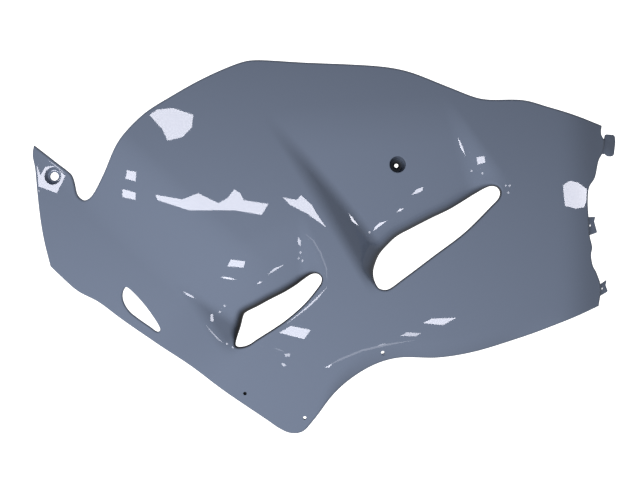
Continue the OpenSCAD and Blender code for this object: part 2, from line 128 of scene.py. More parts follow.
def applied(item: bpy.types.Object, name: str) -> bpy.types.Mesh:
    """Turns an object with its modifiers into a plain mesh and removes the object.

    Args:
        item: the object.
        name: name of the mesh.

    Returns:
        The mesh.
    """
    graph = bpy.context.evaluated_depsgraph_get()
    mesh = bpy.data.meshes.new_from_object(item.evaluated_get(graph))
    mesh.name = name
    bpy.data.objects.remove(item)
    return mesh


@dataclass(frozen=True)
class Line:
    """A straight line in the side view, from start to end."""

    start: tuple[float, float]
    end: tuple[float, float]

    def direction(self) -> Array:
        """Unit vector along the line."""
        return unit(np.subtract(self.end, self.start))

    def length(self) -> float:
        """Length of the line."""
        return float(np.linalg.norm(np.subtract(self.end, self.start)))

    def along(self, p: Array) -> Array:
        """Distance of each place along the line."""
        return (p - np.array(self.start)) @ self.direction()

    def left_of(self, p: Array) -> Array:
        """Distance of each place to the left of the line."""
        d = self.direction()
        return (p - np.array(self.start)) @ np.array([-d[1], d[0]])


@dataclass(frozen=True)
class SmoothCurve:
    """A smooth curve through places, with the same spacing rule as the model's own edges."""

    points: Array
    closed: bool = False

    def at(self, t: Array) -> Array:
        """Places on the curve.

        Args:
            t: positions, counted in points from the first one.

        Returns:
            One place to a position.
        """
        pts = self.points
        if self.closed:
            ends = np.vstack([pts[-1:], pts, pts[:2]])
        else:
            ends = np.vstack([2 * pts[:1] - pts[1:2], pts, 2 * pts[-1:] - pts[-2:-1]])
        i = np.clip(np.floor(t).astype(int), 0, len(ends) - 4)
        s = (t - i)[:, None]
        p0, p1, p2, p3 = (ends[i + k] for k in range(4))
        d0, d1, d2 = (np.sqrt(np.linalg.norm(b - a, axis=1))[:, None]
                      for a, b in ((p0, p1), (p1, p2), (p2, p3)))
        m1 = ((p1 - p0) / d0 - (p2 - p0) / (d0 + d1)) * d1 + p2 - p1
        m2 = ((p3 - p2) / d2 - (p3 - p1) / (d1 + d2)) * d1 + p2 - p1
        return ((1 + s * s * (2 * s - 3)) * p1 + s * (1 + s * (s - 2)) * m1
                + s * s * (3 - 2 * s) * p2 + s * s * (s - 1) * m2)

    def drawn(self, steps: int = 12) -> Array:
        """The whole curve as places, with that many steps to each pair of points."""
        return self.at(np.arange((len(self.points) - 1) * steps + 1) / steps)


@dataclass(frozen=True)
class Vent:
    """An opening of the panel: its own axes, its outline and the depth of its lip.

    The shape of the outline is given in shares of its half length and half width, clockwise as
    seen from outside.
    """

    at: tuple[float, float]
    length: float
    width: float
    tilt: float
    lip: float
    shape: Array

    def own_axes(self, p: Array) -> tuple[Array, Array]:
        """Places in the vent's own axes.

        Args:
            p: places of the side view.

        Returns:
            Their lengths along the vent, and across it.
        """
        c, s = math.cos(math.radians(self.tilt)), math.sin(math.radians(self.tilt))
        d = p - np.array(self.at)
        return d[..., 0] * c + d[..., 1] * s, d[..., 1] * c - d[..., 0] * s

    def outline(self) -> Array:
        """The outline's places, anticlockwise, so that the skin lies to its right.

        Returns:
            One place to each row of the shape.
        """
        c, s = math.cos(math.radians(self.tilt)), math.sin(math.radians(self.tilt))
        a, b = self.shape[::-1, 0] * self.length / 2, self.shape[::-1, 1] * self.width / 2
        return np.array(self.at) + np.stack([a * c - b * s, a * s + b * c], axis=1)


LARGE_VENT = Vent(at=(601.3, -90.1), length=241.0, width=57.6, tilt=38.0, lip=10.0, shape=table(
    (-1, -0.49), (-0.98, -0.01), (-0.93, 0.29), (-0.85, 0.54), (-0.73, 0.79), (-0.56, 0.94),
    (-0.39, 1), (-0.17, 0.85), (0.11, 0.63), (0.38, 0.39), (0.77, 0.21), (0.9, 0.14),
    (0.96, 0.04), (1, -0.19), (0.99, -0.49), (0.93, -0.68), (0.78, -0.78), (0.3, -1),
    (-0.19, -0.96), (-0.67, -0.92), (-0.91, -0.87), (-0.96, -0.75)))
SMALL_VENT = Vent(at=(356.9, -207.3), length=170.0, width=47.0, tilt=39.0, lip=8.0, shape=table(
    (-1, -0.2), (-0.92, 0.08), (-0.77, 0.47), (-0.56, 1), (-0.47, 1), (-0.28, 0.85),
    (0, 0.67), (0.28, 0.46), (0.54, 0.34), (0.72, 0.32), (0.9, 0.26), (0.98, 0.07),
    (1, -0.25), (0.94, -0.52), (0.82, -0.67), (0.45, -0.94), (-0.03, -1), (-0.62, -0.8),
    (-0.8, -0.74), (-0.92, -0.58), (-1, -0.34)))
DRAIN_SLOT = Vent(at=(140.2, -214.7), length=86.6, width=25.5, tilt=-50.0, lip=3.0, shape=table(
    (-0.74, -0.64), (-0.89, -0.24), (-0.98, 0.25), (-1, 0.64), (-0.92, 0.79), (-0.68, 0.92),
    (-0.28, 1), (0.17, 0.96), (0.61, 0.8), (0.88, 0.63), (0.99, 0.45), (1, 0.13),
    (0.91, -0.09), (0.71, -0.25), (0.44, -0.5), (0.11, -0.79), (-0.22, -1),
    (-0.53, -0.91)))


@dataclass(frozen=True)
class Scoop:
    """The hollow that leads air to a vent: a floor, a wall behind it and a wall in front.

    The floor falls and the walls drop by their slopes, away from the lines where they begin. The
    rear wall has one slope at the start of its line and another at its end.
    """

    vent: Vent
    floor: Line
    rear: Line
    front: Line
    crease: float
    fall: float
    rear_slopes: tuple[float, float]
    front_slope: float
    end: float

    def depth(self, p: Array) -> Array:
        """Depth of the scoop below the crown.

        Args:
            p: places of the side view.

        Returns:
            A depth to each place.
        """
        t = np.clip(self.rear.along(p) / self.rear.length(), 0, 1)
        steep = self.rear_slopes[0] + (self.rear_slopes[1] - self.rear_slopes[0]) * t
        y = soft_min(-self.fall * self.floor.left_of(p), steep * self.rear.left_of(p), self.crease)
        y = soft_min(y, -self.front_slope * self.front.left_of(p), self.crease)
        across = self.vent.own_axes(p)[1]
        return soft_max(y, 0.0, self.crease) * (1 - smooth(0.5 - across / self.end))


LARGE_SCOOP = Scoop(
    LARGE_VENT, floor=Line((379.3, 63.9), (642.3, 86.9)), rear=Line((345.3, 94.9), (504.3, -179.1)),
    front=Line((634.3, 86.9), (715.3, -28.1)), crease=9.0, fall=0.23, rear_slopes=(0.65, 1.05),
    front_slope=0.7, end=46.0)
SMALL_SCOOP = Scoop(
    SMALL_VENT, floor=Line((220.9, -173.3), (393.9, -84.3)), rear=Line((212.0, -179.0), (264.0, -252.0)),
    front=Line((399.9, -84.3), (435.9, -164.3)), crease=8.0, fall=0.33, rear_slopes=(0.75, 0.75),
    front_slope=0.75, end=36.0)


@dataclass(frozen=True)
class SkinForm:
    """The free-form painted face: how deep it lies at each place of the side view.

    The crown turns in towards the front edge. The bulge fades out in the valley that runs down
    from the notch. The arch strip turns in over the wheel.
    """

    crown_at: tuple[float, float] = (400.0, -90.0)
    crown_reach: tuple[float, float] = (520.0, 300.0)
    crown_drop: tuple[float, float] = (55.0, 55.0)
    front_turn: float = 30.0
    front_turn_from: float = 780.0
    front_turn_width: float = 120.0
    bulge_rise: float = 38.0
    bulge_slope_width: float = 140.0
    valley: Line = Line((54.0, -58.0), (165.0, -159.0))
    valley_fade_from: float = 200.0
    valley_fade_width: float = 150.0
    cup_depth: float = 10.0
    scoops: tuple[Scoop, ...] = (LARGE_SCOOP, SMALL_SCOOP)
    arch_from: float = 418.0
    arch_to: float = 700.0
    arch_fades: tuple[float, float] = (60.0, 110.0)
    arch_turn: float = 12.0
    arch_strip: float = 34.0
    arch_line: Array = field(default_factory=lambda: BOTTOM_EDGE.drawn())

    def bulge(self, p: Array) -> Array:
        """How far the skin stands out of its plain crown.

        Args:
            p: places of the side view.

        Returns:
            A height to each place.
        """
        fade = 1 - smooth((self.valley.along(p) - self.valley_fade_from) / self.valley_fade_width)
        rise = smooth(self.valley.left_of(p) / self.bulge_slope_width)
        return self.bulge_rise * (1 - fade * (1 - rise))

    def crown(self, p: Array) -> Array:
        """Depth of the crown behind its own highest place.

        Args:
            p: places of the side view.

        Returns:
            A depth to each place.
        """
        u = (p[..., 0] - self.crown_at[0]) / self.crown_reach[0]
        w = (p[..., 1] - self.crown_at[1]) / self.crown_reach[1]
        turn = smooth((p[..., 0] - self.front_turn_from) / self.front_turn_width) ** 2
        return (self.crown_drop[0] * u * u + self.crown_drop[1] * w * w
                + self.front_turn * turn - self.bulge(p))

    def arch(self, p: Array) -> Array:
        """Extra depth of the strip that turns in along the wheel arch.

        Args:
            p: places of the side view.

        Returns:
            A depth to each place.
        """
        x = p[..., 0]
        above = p[..., 1] - np.interp(x, self.arch_line[:, 0], self.arch_line[:, 1])
        share = smooth((x - self.arch_from) / self.arch_fades[0])
        share = share * (1 - smooth((x - self.arch_to) / self.arch_fades[1]))
        return share * self.arch_turn * np.maximum(0, 1 - above / self.arch_strip) ** 2

    def depth(self, p: Array) -> Array:
        """Depth of the painted face.

        Args:
            p: places of the side view.

        Returns:
            The Y of each place, in millimetres.
        """
        y = -self.cup_depth - self.crown(np.zeros((1, 2)))[0] + self.crown(p)
        for scoop in self.scoops:
            y = y + scoop.depth(p)
        return y + self.arch(p)

    def facing(self, p: Array) -> Array:
        """Direction out of the painted face.

        Args:
            p: places of the side view.

        Returns:
            A unit vector to each place.
        """
        dx, dz = np.array([1.0, 0.0]), np.array([0.0, 1.0])
        sx = (self.depth(p + dx) - self.depth(p - dx)) / 2
        sz = (self.depth(p + dz) - self.depth(p - dz)) / 2
        return unit(np.stack([sx, -np.ones_like(sx), sz], axis=-1))

    def on_skin(self, p: Array) -> Array:
        """Points of the painted face."""
        return lifted(p, self.depth(p))


TOP_EDGE = SmoothCurve(table(
    (-34, 50), (-16, 37), (4, 22), (22, 9), (30, 2), (34, -7), (36, -15), (39, -28),
    (44, -35), (52, -39), (60, -36), (67, -29), (87, 4), (108, 46), (127, 71), (154, 97),
    (191, 121), (247, 153), (303, 177), (321, 180), (397, 176), (528, 169), (566, 161),
    (622, 139), (669, 121), (688, 118), (745, 118), (784, 108), (878, 82)))
BOTTOM_EDGE = SmoothCurve(table(
    (-4, -144), (11, -158), (40, -183), (73, -200), (111, -228), (168, -267), (228, -303),
    (284, -344), (340, -384), (362, -400), (378, -407), (397, -405), (416, -384),
    (444, -346), (472, -320), (509, -297), (546, -286), (611, -286), (668, -277),
    (743, -254), (801, -232), (869, -207)))
REAR_EDGE = SmoothCurve(table(
    (-4, -144), (-14, -104), (-20, -72), (-26, -28), (-31, 12), (-36, 35), (-34, 50)))
FRONT_EDGE = SmoothCurve(table(
    (869, -207), (872, -182), (870, -169), (866, -160), (862, -152), (856, -143), (852, -125),
    (854, -114), (849, -94), (847, -64), (846, -41), (849, -19), (860, -4), (869, 25), (876, 36),
    (881, 57), (876, 68), (878, 82)))


@dataclass
class Rim:
    """A closed line where the flat run of the skin ends and an edge begins.

    The skin lies to the right of the line. Each later row holds points of the visible face and,
    for each of them, the vector from the bare face to the visible one, in wall thicknesses.
    Each row also has a share of the paint's colour, from 1 where it is whole to 0 where it is
    painted fully dark: painted shade in roll-ins and hollows, drawn as paint thinning to bare plastic.
    """

    start: Array
    rows: list[tuple[Array, Array]]
    # share of paint colour to each row; below 1 it darkens the paint as painted shade
    unshaded: tuple[float, ...] = ()

    def row_unshaded(self, number: int) -> float:
        """Paint colour share of a row, low where shade is painted; later rows take that of the last."""
        return self.unshaded[min(number, len(self.unshaded) - 1)] if self.unshaded else 1.0


def mitre(loop: Array) -> tuple[Array, Array]:
    """Directions away from the material along a closed line.

    Args:
        loop: places, with the material to their right.

    Returns:
        The unit vectors, and how much longer each has to be to stay on a parallel line.
    """
    before, after = unit(loop - np.roll(loop, 1, 0)), unit(np.roll(loop, -1, 0) - loop)
    t = unit(before + after)
    n = np.stack([-t[:, 1], t[:, 0]], axis=1)
    share = np.sum(np.stack([-before[:, 1], before[:, 0]], axis=1) * n, axis=1)
    return n, 1 / np.maximum(1 / LONGEST_MITRE, share)


@dataclass
class EdgeMaker:
    """Rounds an edge over and gives it a return lip."""

    form: SkinForm
    lip_steps: int = 2
    lip_end_round: float = 0.6
    lip_end_wall: float = 0.6
    least_wall: float = 0.2

    def rim(self, start: Array, edge: Array, deep: Array, lip: float, bends: int) -> Rim:
        """A rounded edge with a lip.

        Args:
            start: where the round begins on the skin.
            edge: where it ends, place by place.
            deep: depth of the round at each place.
            lip: length of the lip behind it.
            bends: number of steps of the round.

        Returns:
            The rim, from its first row behind the skin.
        """
        out, reach = unit(edge - start), np.linalg.norm(edge - start, axis=1)
        long = np.maximum(reach / deep, self.least_wall)
        rows = []
        for th in np.linspace(0, math.pi / 2, bends + 1)[1:]:
            p = start + (edge - start) * math.sin(th)
            y = self.form.depth(p) + deep * (1 - math.cos(th))
            away = unit(math.cos(th) * self.form.facing(p) + math.sin(th) * lifted(out, 0.0))
            grow = 1 + (long - 1) * math.sin(th)
            back = np.stack([away[:, 0] * grow, away[:, 1] * math.cos(th), away[:, 2] * grow], axis=1)
            rows.append((lifted(p, y), back))
        top, back = rows[-1]
        for share in np.linspace(0, 1, self.lip_steps + 1)[1:]:
            rows.append((lifted(top[:, [0, 2]], top[:, 1] + (lip - self.lip_end_round) * share), back))
        end = rows[-1][0] - back * self.lip_end_round
        end[:, 1] = top[:, 1] + lip
        rows.append((end, back * self.lip_end_wall))
        return Rim(start, rows)


@dataclass
class OuterEdge:
    """The panel's whole outline with its rounded edge.

    Its places lie on the columns and rows of a grid, and on finer steps in between. The two tables
    say how far along the panel some of the columns stand, at its top and at its bottom.
    """

    form: SkinForm
    radius: float = 4.0
    lip: float = 6.0
    bends: int = 5
    columns: int = 56
    rows: int = 26
    finer: int = 4
    column_top: Array = field(default_factory=lambda: table(
        (0, -34), (3, 29), (4, 36), (5, 41), (6, 50), (7, 61), (8, 73), (10, 108),
        (24, 322), (32, 432), (56, 878)))
    column_low: Array = field(default_factory=lambda: table(
        (0, -4), (4, 40), (10, 111), (24, 322), (32, 432), (56, 869)))

    def across(self, curve: SmoothCurve, columns: Array, i: Array) -> Array:
        """Places of the top or bottom edge at columns of the grid.

        Args:
            curve: the edge.
            columns: how far along the panel some of the columns lie.
            i: numbers of the columns, whole or in between.

        Returns:
            One place to a column.
        """
        line = curve.drawn()
        x = np.interp(i, columns[:, 0], columns[:, 1])
        return np.stack([x, np.interp(x, line[:, 0], line[:, 1])], axis=1)

    def upright(self, curve: SmoothCurve, j: Array) -> Array:
        """Places of the rear or front edge at rows of the grid.

        Args:
            curve: the edge.
            j: numbers of the rows, whole or in between.

        Returns:
            One place to a row.
        """
        line = curve.drawn()
        z = np.interp(j, [0, self.rows], [line[0, 1], line[-1, 1]])
        return np.stack([np.interp(z, line[:, 1], line[:, 0]), z], axis=1)

    def sides(self, finer: int) -> list[Array]:
        """The four sides, clockwise from the lower rear corner.

        Args:
            finer: number of places to a step of the grid.

        Returns:
            The places of each side, with both of its corners.
        """
        i = np.arange(self.columns * finer + 1) / finer
        j = np.arange(self.rows * finer + 1) / finer
        return [self.upright(REAR_EDGE, j), self.across(TOP_EDGE, self.column_top, i),
                self.upright(FRONT_EDGE, j)[::-1], self.across(BOTTOM_EDGE, self.column_low, i)[::-1]]

    def rim(self) -> Rim:
        """The rounded edge and return lip all round the panel.

        Returns:
            The rim.
        """
        coarse = self.sides(1)
        loop = np.vstack([s[:-1] for s in coarse])
        out, long = mitre(loop)
        inner = loop - out * long[:, None] * self.radius
        edges, starts, first = [], [], 0
        for rough, exact in zip(coarse, self.sides(self.finer)):
            ids = np.arange(first, first + len(rough)) % len(loop)
            t = np.arange(len(exact)) / self.finer
            shift = exact - SmoothCurve(rough).at(t)
            edges.append(exact[:-1])
            starts.append((SmoothCurve(inner[ids]).at(t) + shift)[:-1])
            first += len(rough) - 1
        edge, start = np.vstack(edges), np.vstack(starts)
        deep = np.full(len(edge), self.radius)
        return EdgeMaker(self.form).rim(start, edge, deep, self.lip, self.bends)


@dataclass
class VentEdge:
    """The rolled-in edge of a vent: wide where a scoop floor runs in, tight elsewhere.

    It has its whole width where the scoop is as deep as full_at. Between two angles of the round, in
    degrees, the paint's colour darkens as painted shade in the roll-in; it is whole all over where both
    are 90 or more.
    """

    form: SkinForm
    vent: Vent
    tight: float
    scoop: Scoop | None = None
    wide: float = 0.0
    full_at: float = 1.0
    rough_steps: int = 56
    finer: int = 4
    bends: int = 9
    shade_angles: tuple[float, float] = (90.0, 120.0)

    def widths(self, p: Array) -> Array:
        """Width of the round at places on the outline.

        Args:
            p: the places.

        Returns:
            One width to a place.
        """
        if self.scoop is None:
            return np.full(len(p), self.tight)
        return self.tight + (self.wide - self.tight) * smooth(self.scoop.depth(p) / self.full_at)

    def rim(self) -> Rim:
        """The rounded edge and lip of the vent.

        Returns:
            The rim, with the painted shade of each row.
        """
        curve = SmoothCurve(self.vent.outline(), closed=True)
        count = len(curve.points)
        rough = curve.at(np.arange(self.rough_steps) * count / self.rough_steps)
        out, long = mitre(rough)
        inner = rough - out * (long * self.widths(rough))[:, None]
        t = np.arange(self.rough_steps * self.finer) / self.finer
        edge = curve.at(t * count / self.rough_steps)
        shift = edge - SmoothCurve(rough, closed=True).at(t)
        start = SmoothCurve(inner, closed=True).at(t) + shift
        rim = EdgeMaker(self.form).rim(start, edge, self.widths(edge), self.vent.lip, self.bends)
        # painted shade: the paint's colour fades to dark between the two angles of the round
        angles = np.linspace(0, 90, self.bends + 1)[1:]
        thin, end = self.shade_angles
        rim.unshaded = tuple(float(1 - smooth((a - thin) / (end - thin))) for a in angles)
        return rim


@dataclass
class FixingCup:
    """A fixing: a cup sunk into the skin, with a flat floor and a hole through it.

    Above its floor the cup widens to its mouth over a share of its depth, the taper.
    """

    form: SkinForm
    at: tuple[float, float]
    mouth: float
    floor: float
    hole: float
    depth: float
    mouth_round: float
    floor_round: float = 1.5
    hole_round: float = 0.4
    taper: float = 0.7
    wall: float = WALL
    steps: int = 64
    bends: int = 3
    wall_steps: int = 4
    # share of paint colour to each row; values under 1 paint shade into the cup
    unshaded: tuple[float, ...] = ()

    def ring(self, radius: Array | float) -> Array:
        """Places round the cup's axis, anticlockwise."""
        return np.array(self.at) + circle(self.steps, radius)

    def rim(self) -> Rim:
        """The cup from its mouth to the edge of its hole.

        Returns:
            The rim, with the painted shade of each row.
        """
        floor_y = self.form.depth(np.array([self.at]))[0] + self.depth
        radius, bottom = self.mouth / 2, self.floor / 2
        start, edge = self.ring(radius + self.mouth_round), self.ring(radius)
        deep = np.full(self.steps, self.mouth_round)
        rows = EdgeMaker(self.form).rim(start, edge, deep, 0.0, self.bends).rows[:self.bends]
        inward = unit(lifted(np.array(self.at) - edge, 0.0))
        upward = np.array([0.0, -1.0, 0.0])
        top_y, low_y = rows[-1][0][:, 1], floor_y - self.floor_round
        for step in range(1, self.wall_steps + 1):
            y = top_y + (low_y - top_y) * step / self.wall_steps
            r = bottom + (radius - bottom) * np.clip((floor_y - y) / (self.depth * self.taper), 0, 1)
            rows.append((lifted(self.ring(r), y), inward))
        for turn in np.linspace(0, math.pi / 2, self.bends + 1)[1:]:
            s, c = math.sin(turn), math.cos(turn)
            p = self.ring(r - self.floor_round * (1 - c))
            rows.append((lifted(p, low_y + self.floor_round * s), inward * c + upward * s))
        hole = self.hole / 2
        for r, sink in ((hole + self.hole_round, 0.0), (hole, self.hole_round)):
            back = np.tile(upward * (self.wall - sink) / self.wall, (self.steps, 1))
            rows.append((lifted(self.ring(r), floor_y + sink), back))
        return Rim(start, rows, self.unshaded)


@dataclass
class ScrewHole:
    """A plain screw hole through the skin, with a slightly rounded edge."""

    form: SkinForm
    at: tuple[float, float]
    hole: float = SCREW_HOLE
    edge_round: float = 0.5
    wall: float = WALL
    steps: int = 32
    bends: int = 3

    def rim(self) -> Rim:
        """The hole from the skin to its back.

        Returns:
            The rim.
        """
        start = np.array(self.at) + circle(self.steps, self.hole / 2 + self.edge_round)
        edge = np.array(self.at) + circle(self.steps, self.hole / 2)
        deep = np.full(self.steps, self.edge_round)
        rows = EdgeMaker(self.form).rim(start, edge, deep, 0.0, self.bends).rows[:self.bends]
        through = self.wall / -self.form.facing(edge)[:, 1] - self.edge_round
        back = np.zeros((self.steps, 3))
        back[:, 1] = -through / self.wall
        rows[-1] = (rows[-1][0], back)
        return Rim(start, rows)


def inside(loop: Array, p: Array) -> Array:
    """Which places lie inside a closed line.

    Args:
        loop: places of the line.
        p: the places.

    Returns:
        True for each place that lies inside.
    """
    found = np.zeros(len(p), dtype=bool)
    for a, b in zip(loop, np.roll(loop, -1, 0)):
        over = (a[1] > p[:, 1]) != (b[1] > p[:, 1])
        if over.any():
            x = a[0] + (p[:, 1] - a[1]) / (b[1] - a[1]) * (b[0] - a[0])
            found ^= over & (p[:, 0] < x)
    return found


def flat_net(loops: list[Array], free: Array | None = None) -> tuple[Array, Array]:
    """Triangles that fill a flat outline.

    Args:
        loops: the outline first, then each hole in it.
        free: further places inside it.

    Returns:
        All places, those of the loops first, and the triangles, anticlockwise.
    """
    places = np.vstack(loops + ([] if free is None else [free]))
    edges, first = [], 0
    for loop in loops:
        n = len(loop)
        edges += [(first + k, first + (k + 1) % n) for k in range(n)]
        first += n
    out = delaunay_2d_cdt([Vector(p) for p in places], edges, [], 0, SAME_PLACE)
    source = [ids[0] for ids in out[3]]
    faces = np.array([[source[v] for v in f] for f in out[2]])
    middle = places[faces].mean(axis=1)
    keep = inside(loops[0], middle)
    for loop in loops[1:]:
        keep &= ~inside(loop, middle)
    faces = faces[keep]
    a, b, c = (places[faces[:, k]] for k in range(3))
    turned = np.cross(b - a, c - a) < 0
    faces[turned] = faces[turned][:, ::-1]
    return places, faces


@dataclass
class SkinMesh:
    """Covers the run of the skin between its rims with a fine even net, and gives it its wall.

    The net keeps clear of the rims by a share of its spacing.
    """

    form: SkinForm
    rims: list[Rim]
    wall: float = WALL
    spacing: float = 3.9
    clear_share: float = 0.6

    def net(self) -> tuple[Array, Array]:
        """The even net between the rims.

        Returns:
            Its places, with the starts of the rims first, and its triangles.
        """
        loops = [rim.start for rim in self.rims]
        low, high = loops[0].min(0), loops[0].max(0)
        step = self.spacing * math.sqrt(3) / 2
        rows = [np.stack(np.broadcast_arrays(
            np.arange(low[0] + (n % 2) * self.spacing / 2, high[0], self.spacing), z), axis=1)
            for n, z in enumerate(np.arange(low[1], high[1], step))]
        free = np.vstack(rows)
        free = free[inside(loops[0], free)]
        for loop in loops[1:]:
            free = free[~inside(loop, free)]
        near = np.full(len(free), np.inf)
        for place in np.vstack(loops):
            near = np.minimum(near, np.sum((free - place) ** 2, axis=1))
        free = free[near > (self.clear_share * self.spacing) ** 2]
        return flat_net(loops, free)

    def build(self, name: str) -> bpy.types.Mesh:
        """The closed moulding as a mesh.

        Args:
            name: name of the mesh.

        Returns:
            The mesh, in metres, with painted faces in slot 0 and bare ones in slot 1.
        """
        places, triangles = self.net()
        front = [tuple(int(v) for v in f) for f in triangles]
        # each point's share of paint colour: whole on the net, lower where rim rows carry painted shade
        unshaded = [np.ones(len(places))]
        points, backs = [self.form.on_skin(places)], [self.form.facing(places)]
        count, first, ends = len(places), 0, []
        for rim in self.rims:
            n = len(rim.start)
            row = np.arange(first, first + n)
            first += n
            for number, (point, back) in enumerate(rim.rows):
                new = np.arange(count, count + n)
                unshaded.append(np.full(n, rim.row_unshaded(number)))
                for k in range(n):
                    m = (k + 1) % n
                    front.append((int(row[k]), int(row[m]), int(new[m]), int(new[k])))
                points.append(point)
                backs.append(back)
                count += n
                row = new
            ends += [(int(row[k]), int(row[(k + 1) % n])) for k in range(n)]
        face, bare = np.vstack(points), np.vstack(points) - np.vstack(backs) * self.wall
        faces = list(front) + [tuple(v + count for v in f[::-1]) for f in front]
        faces += [(a, b, b + count, a + count) for a, b in ends]
        mesh = bpy.data.meshes.new(name)
        mesh.from_pydata((np.vstack([face, bare]) * MM).tolist(), [], faces)
        slots = np.full(len(faces), Side.BARE)
        slots[:len(front)] = Side.PAINTED
        mesh.polygons.foreach_set("material_index", slots)
        mesh.validate()
        set_painted_shade(mesh, np.tile(np.concatenate(unshaded), 2))
        outward = np.zeros((2 * count, 3))
        outward[:len(places)] = backs[0]
        outward[count:count + len(places)] = -backs[0]
        set_normals(mesh, outward)
        return mesh


def shade_smooth(mesh: bpy.types.Mesh) -> None:
    """Shades a mesh smooth, apart from its sharp edges."""
    mesh.polygons.foreach_set("use_smooth", [True] * len(mesh.polygons))
    mesh.set_sharp_from_angle(angle=SHARP_FROM)


def set_normals(mesh: bpy.types.Mesh, outward: Array) -> None:
    """Gives vertices their exact normals, so that reflections follow the form and not the net.

    Args:
        mesh: the mesh.
        outward: one normal to a vertex, of length zero where the faces' own normals are to stay.
    """
    shade_smooth(mesh)
    corners = np.zeros(len(mesh.loops) * 3, dtype=np.float32)
    mesh.corner_normals.foreach_get("vector", corners)
    corners = corners.reshape(-1, 3)
    owner = np.zeros(len(mesh.loops), dtype=np.int32)
    mesh.loops.foreach_get("vertex_index", owner)
    known = outward[owner].any(axis=1)
    corners[known] = outward[owner][known]
    mesh.normals_split_custom_set(corners.tolist())


def set_painted_shade(mesh: bpy.types.Mesh, values: Array) -> None:
    """Stores each vertex's share of paint colour: 1 whole, 0 fully dark as painted shade."""
    mesh.attributes.new("unshaded", "FLOAT", "POINT").data.foreach_set("value", values.astype(np.float32))


def node_group(name: str, kind: str, inputs: dict[str, str],
               outputs: dict[str, str]) -> tuple[bpy.types.NodeTree, bpy.types.Node, bpy.types.Node]:
    """An empty node group with named sockets.

    Args:
        name: its name.
        kind: its type of tree.
        inputs: kind of socket for each input.
        outputs: kind of socket for each output.

    Returns:
        The group, the node with its inputs and the node that takes its outputs.
    """
    tree = bpy.data.node_groups.new(name, kind)
    for way, sockets in (("INPUT", inputs), ("OUTPUT", outputs)):
        for socket, sort in sockets.items():
            tree.interface.new_socket(socket, in_out=way, socket_type="NodeSocket" + sort)
    return tree, tree.nodes.new("NodeGroupInput"), tree.nodes.new("NodeGroupOutput")


def new_node(tree: bpy.types.NodeTree, kind: str, inputs: dict | None = None,
             **settings: object) -> bpy.types.Node:
    """A node with its settings and the values of its inputs.

    Args:
        tree: the tree that it belongs to.
        kind: its type.
        inputs: values by name or number of the input.
        settings: values of the node's own properties.

    Returns:
        The node.
    """
    node = tree.nodes.new(kind)
    for name, value in settings.items():
        setattr(node, name, value)
    for name, value in (inputs or {}).items():
        node.inputs[name].default_value = value
    return node


def wire(tree: bpy.types.NodeTree, *links: tuple) -> None:
    """Joins sockets of a tree; each link is a node, its output, the next node and its input."""
    for source, out, target, into in links:
        tree.links.new(source.outputs[out], target.inputs[into])


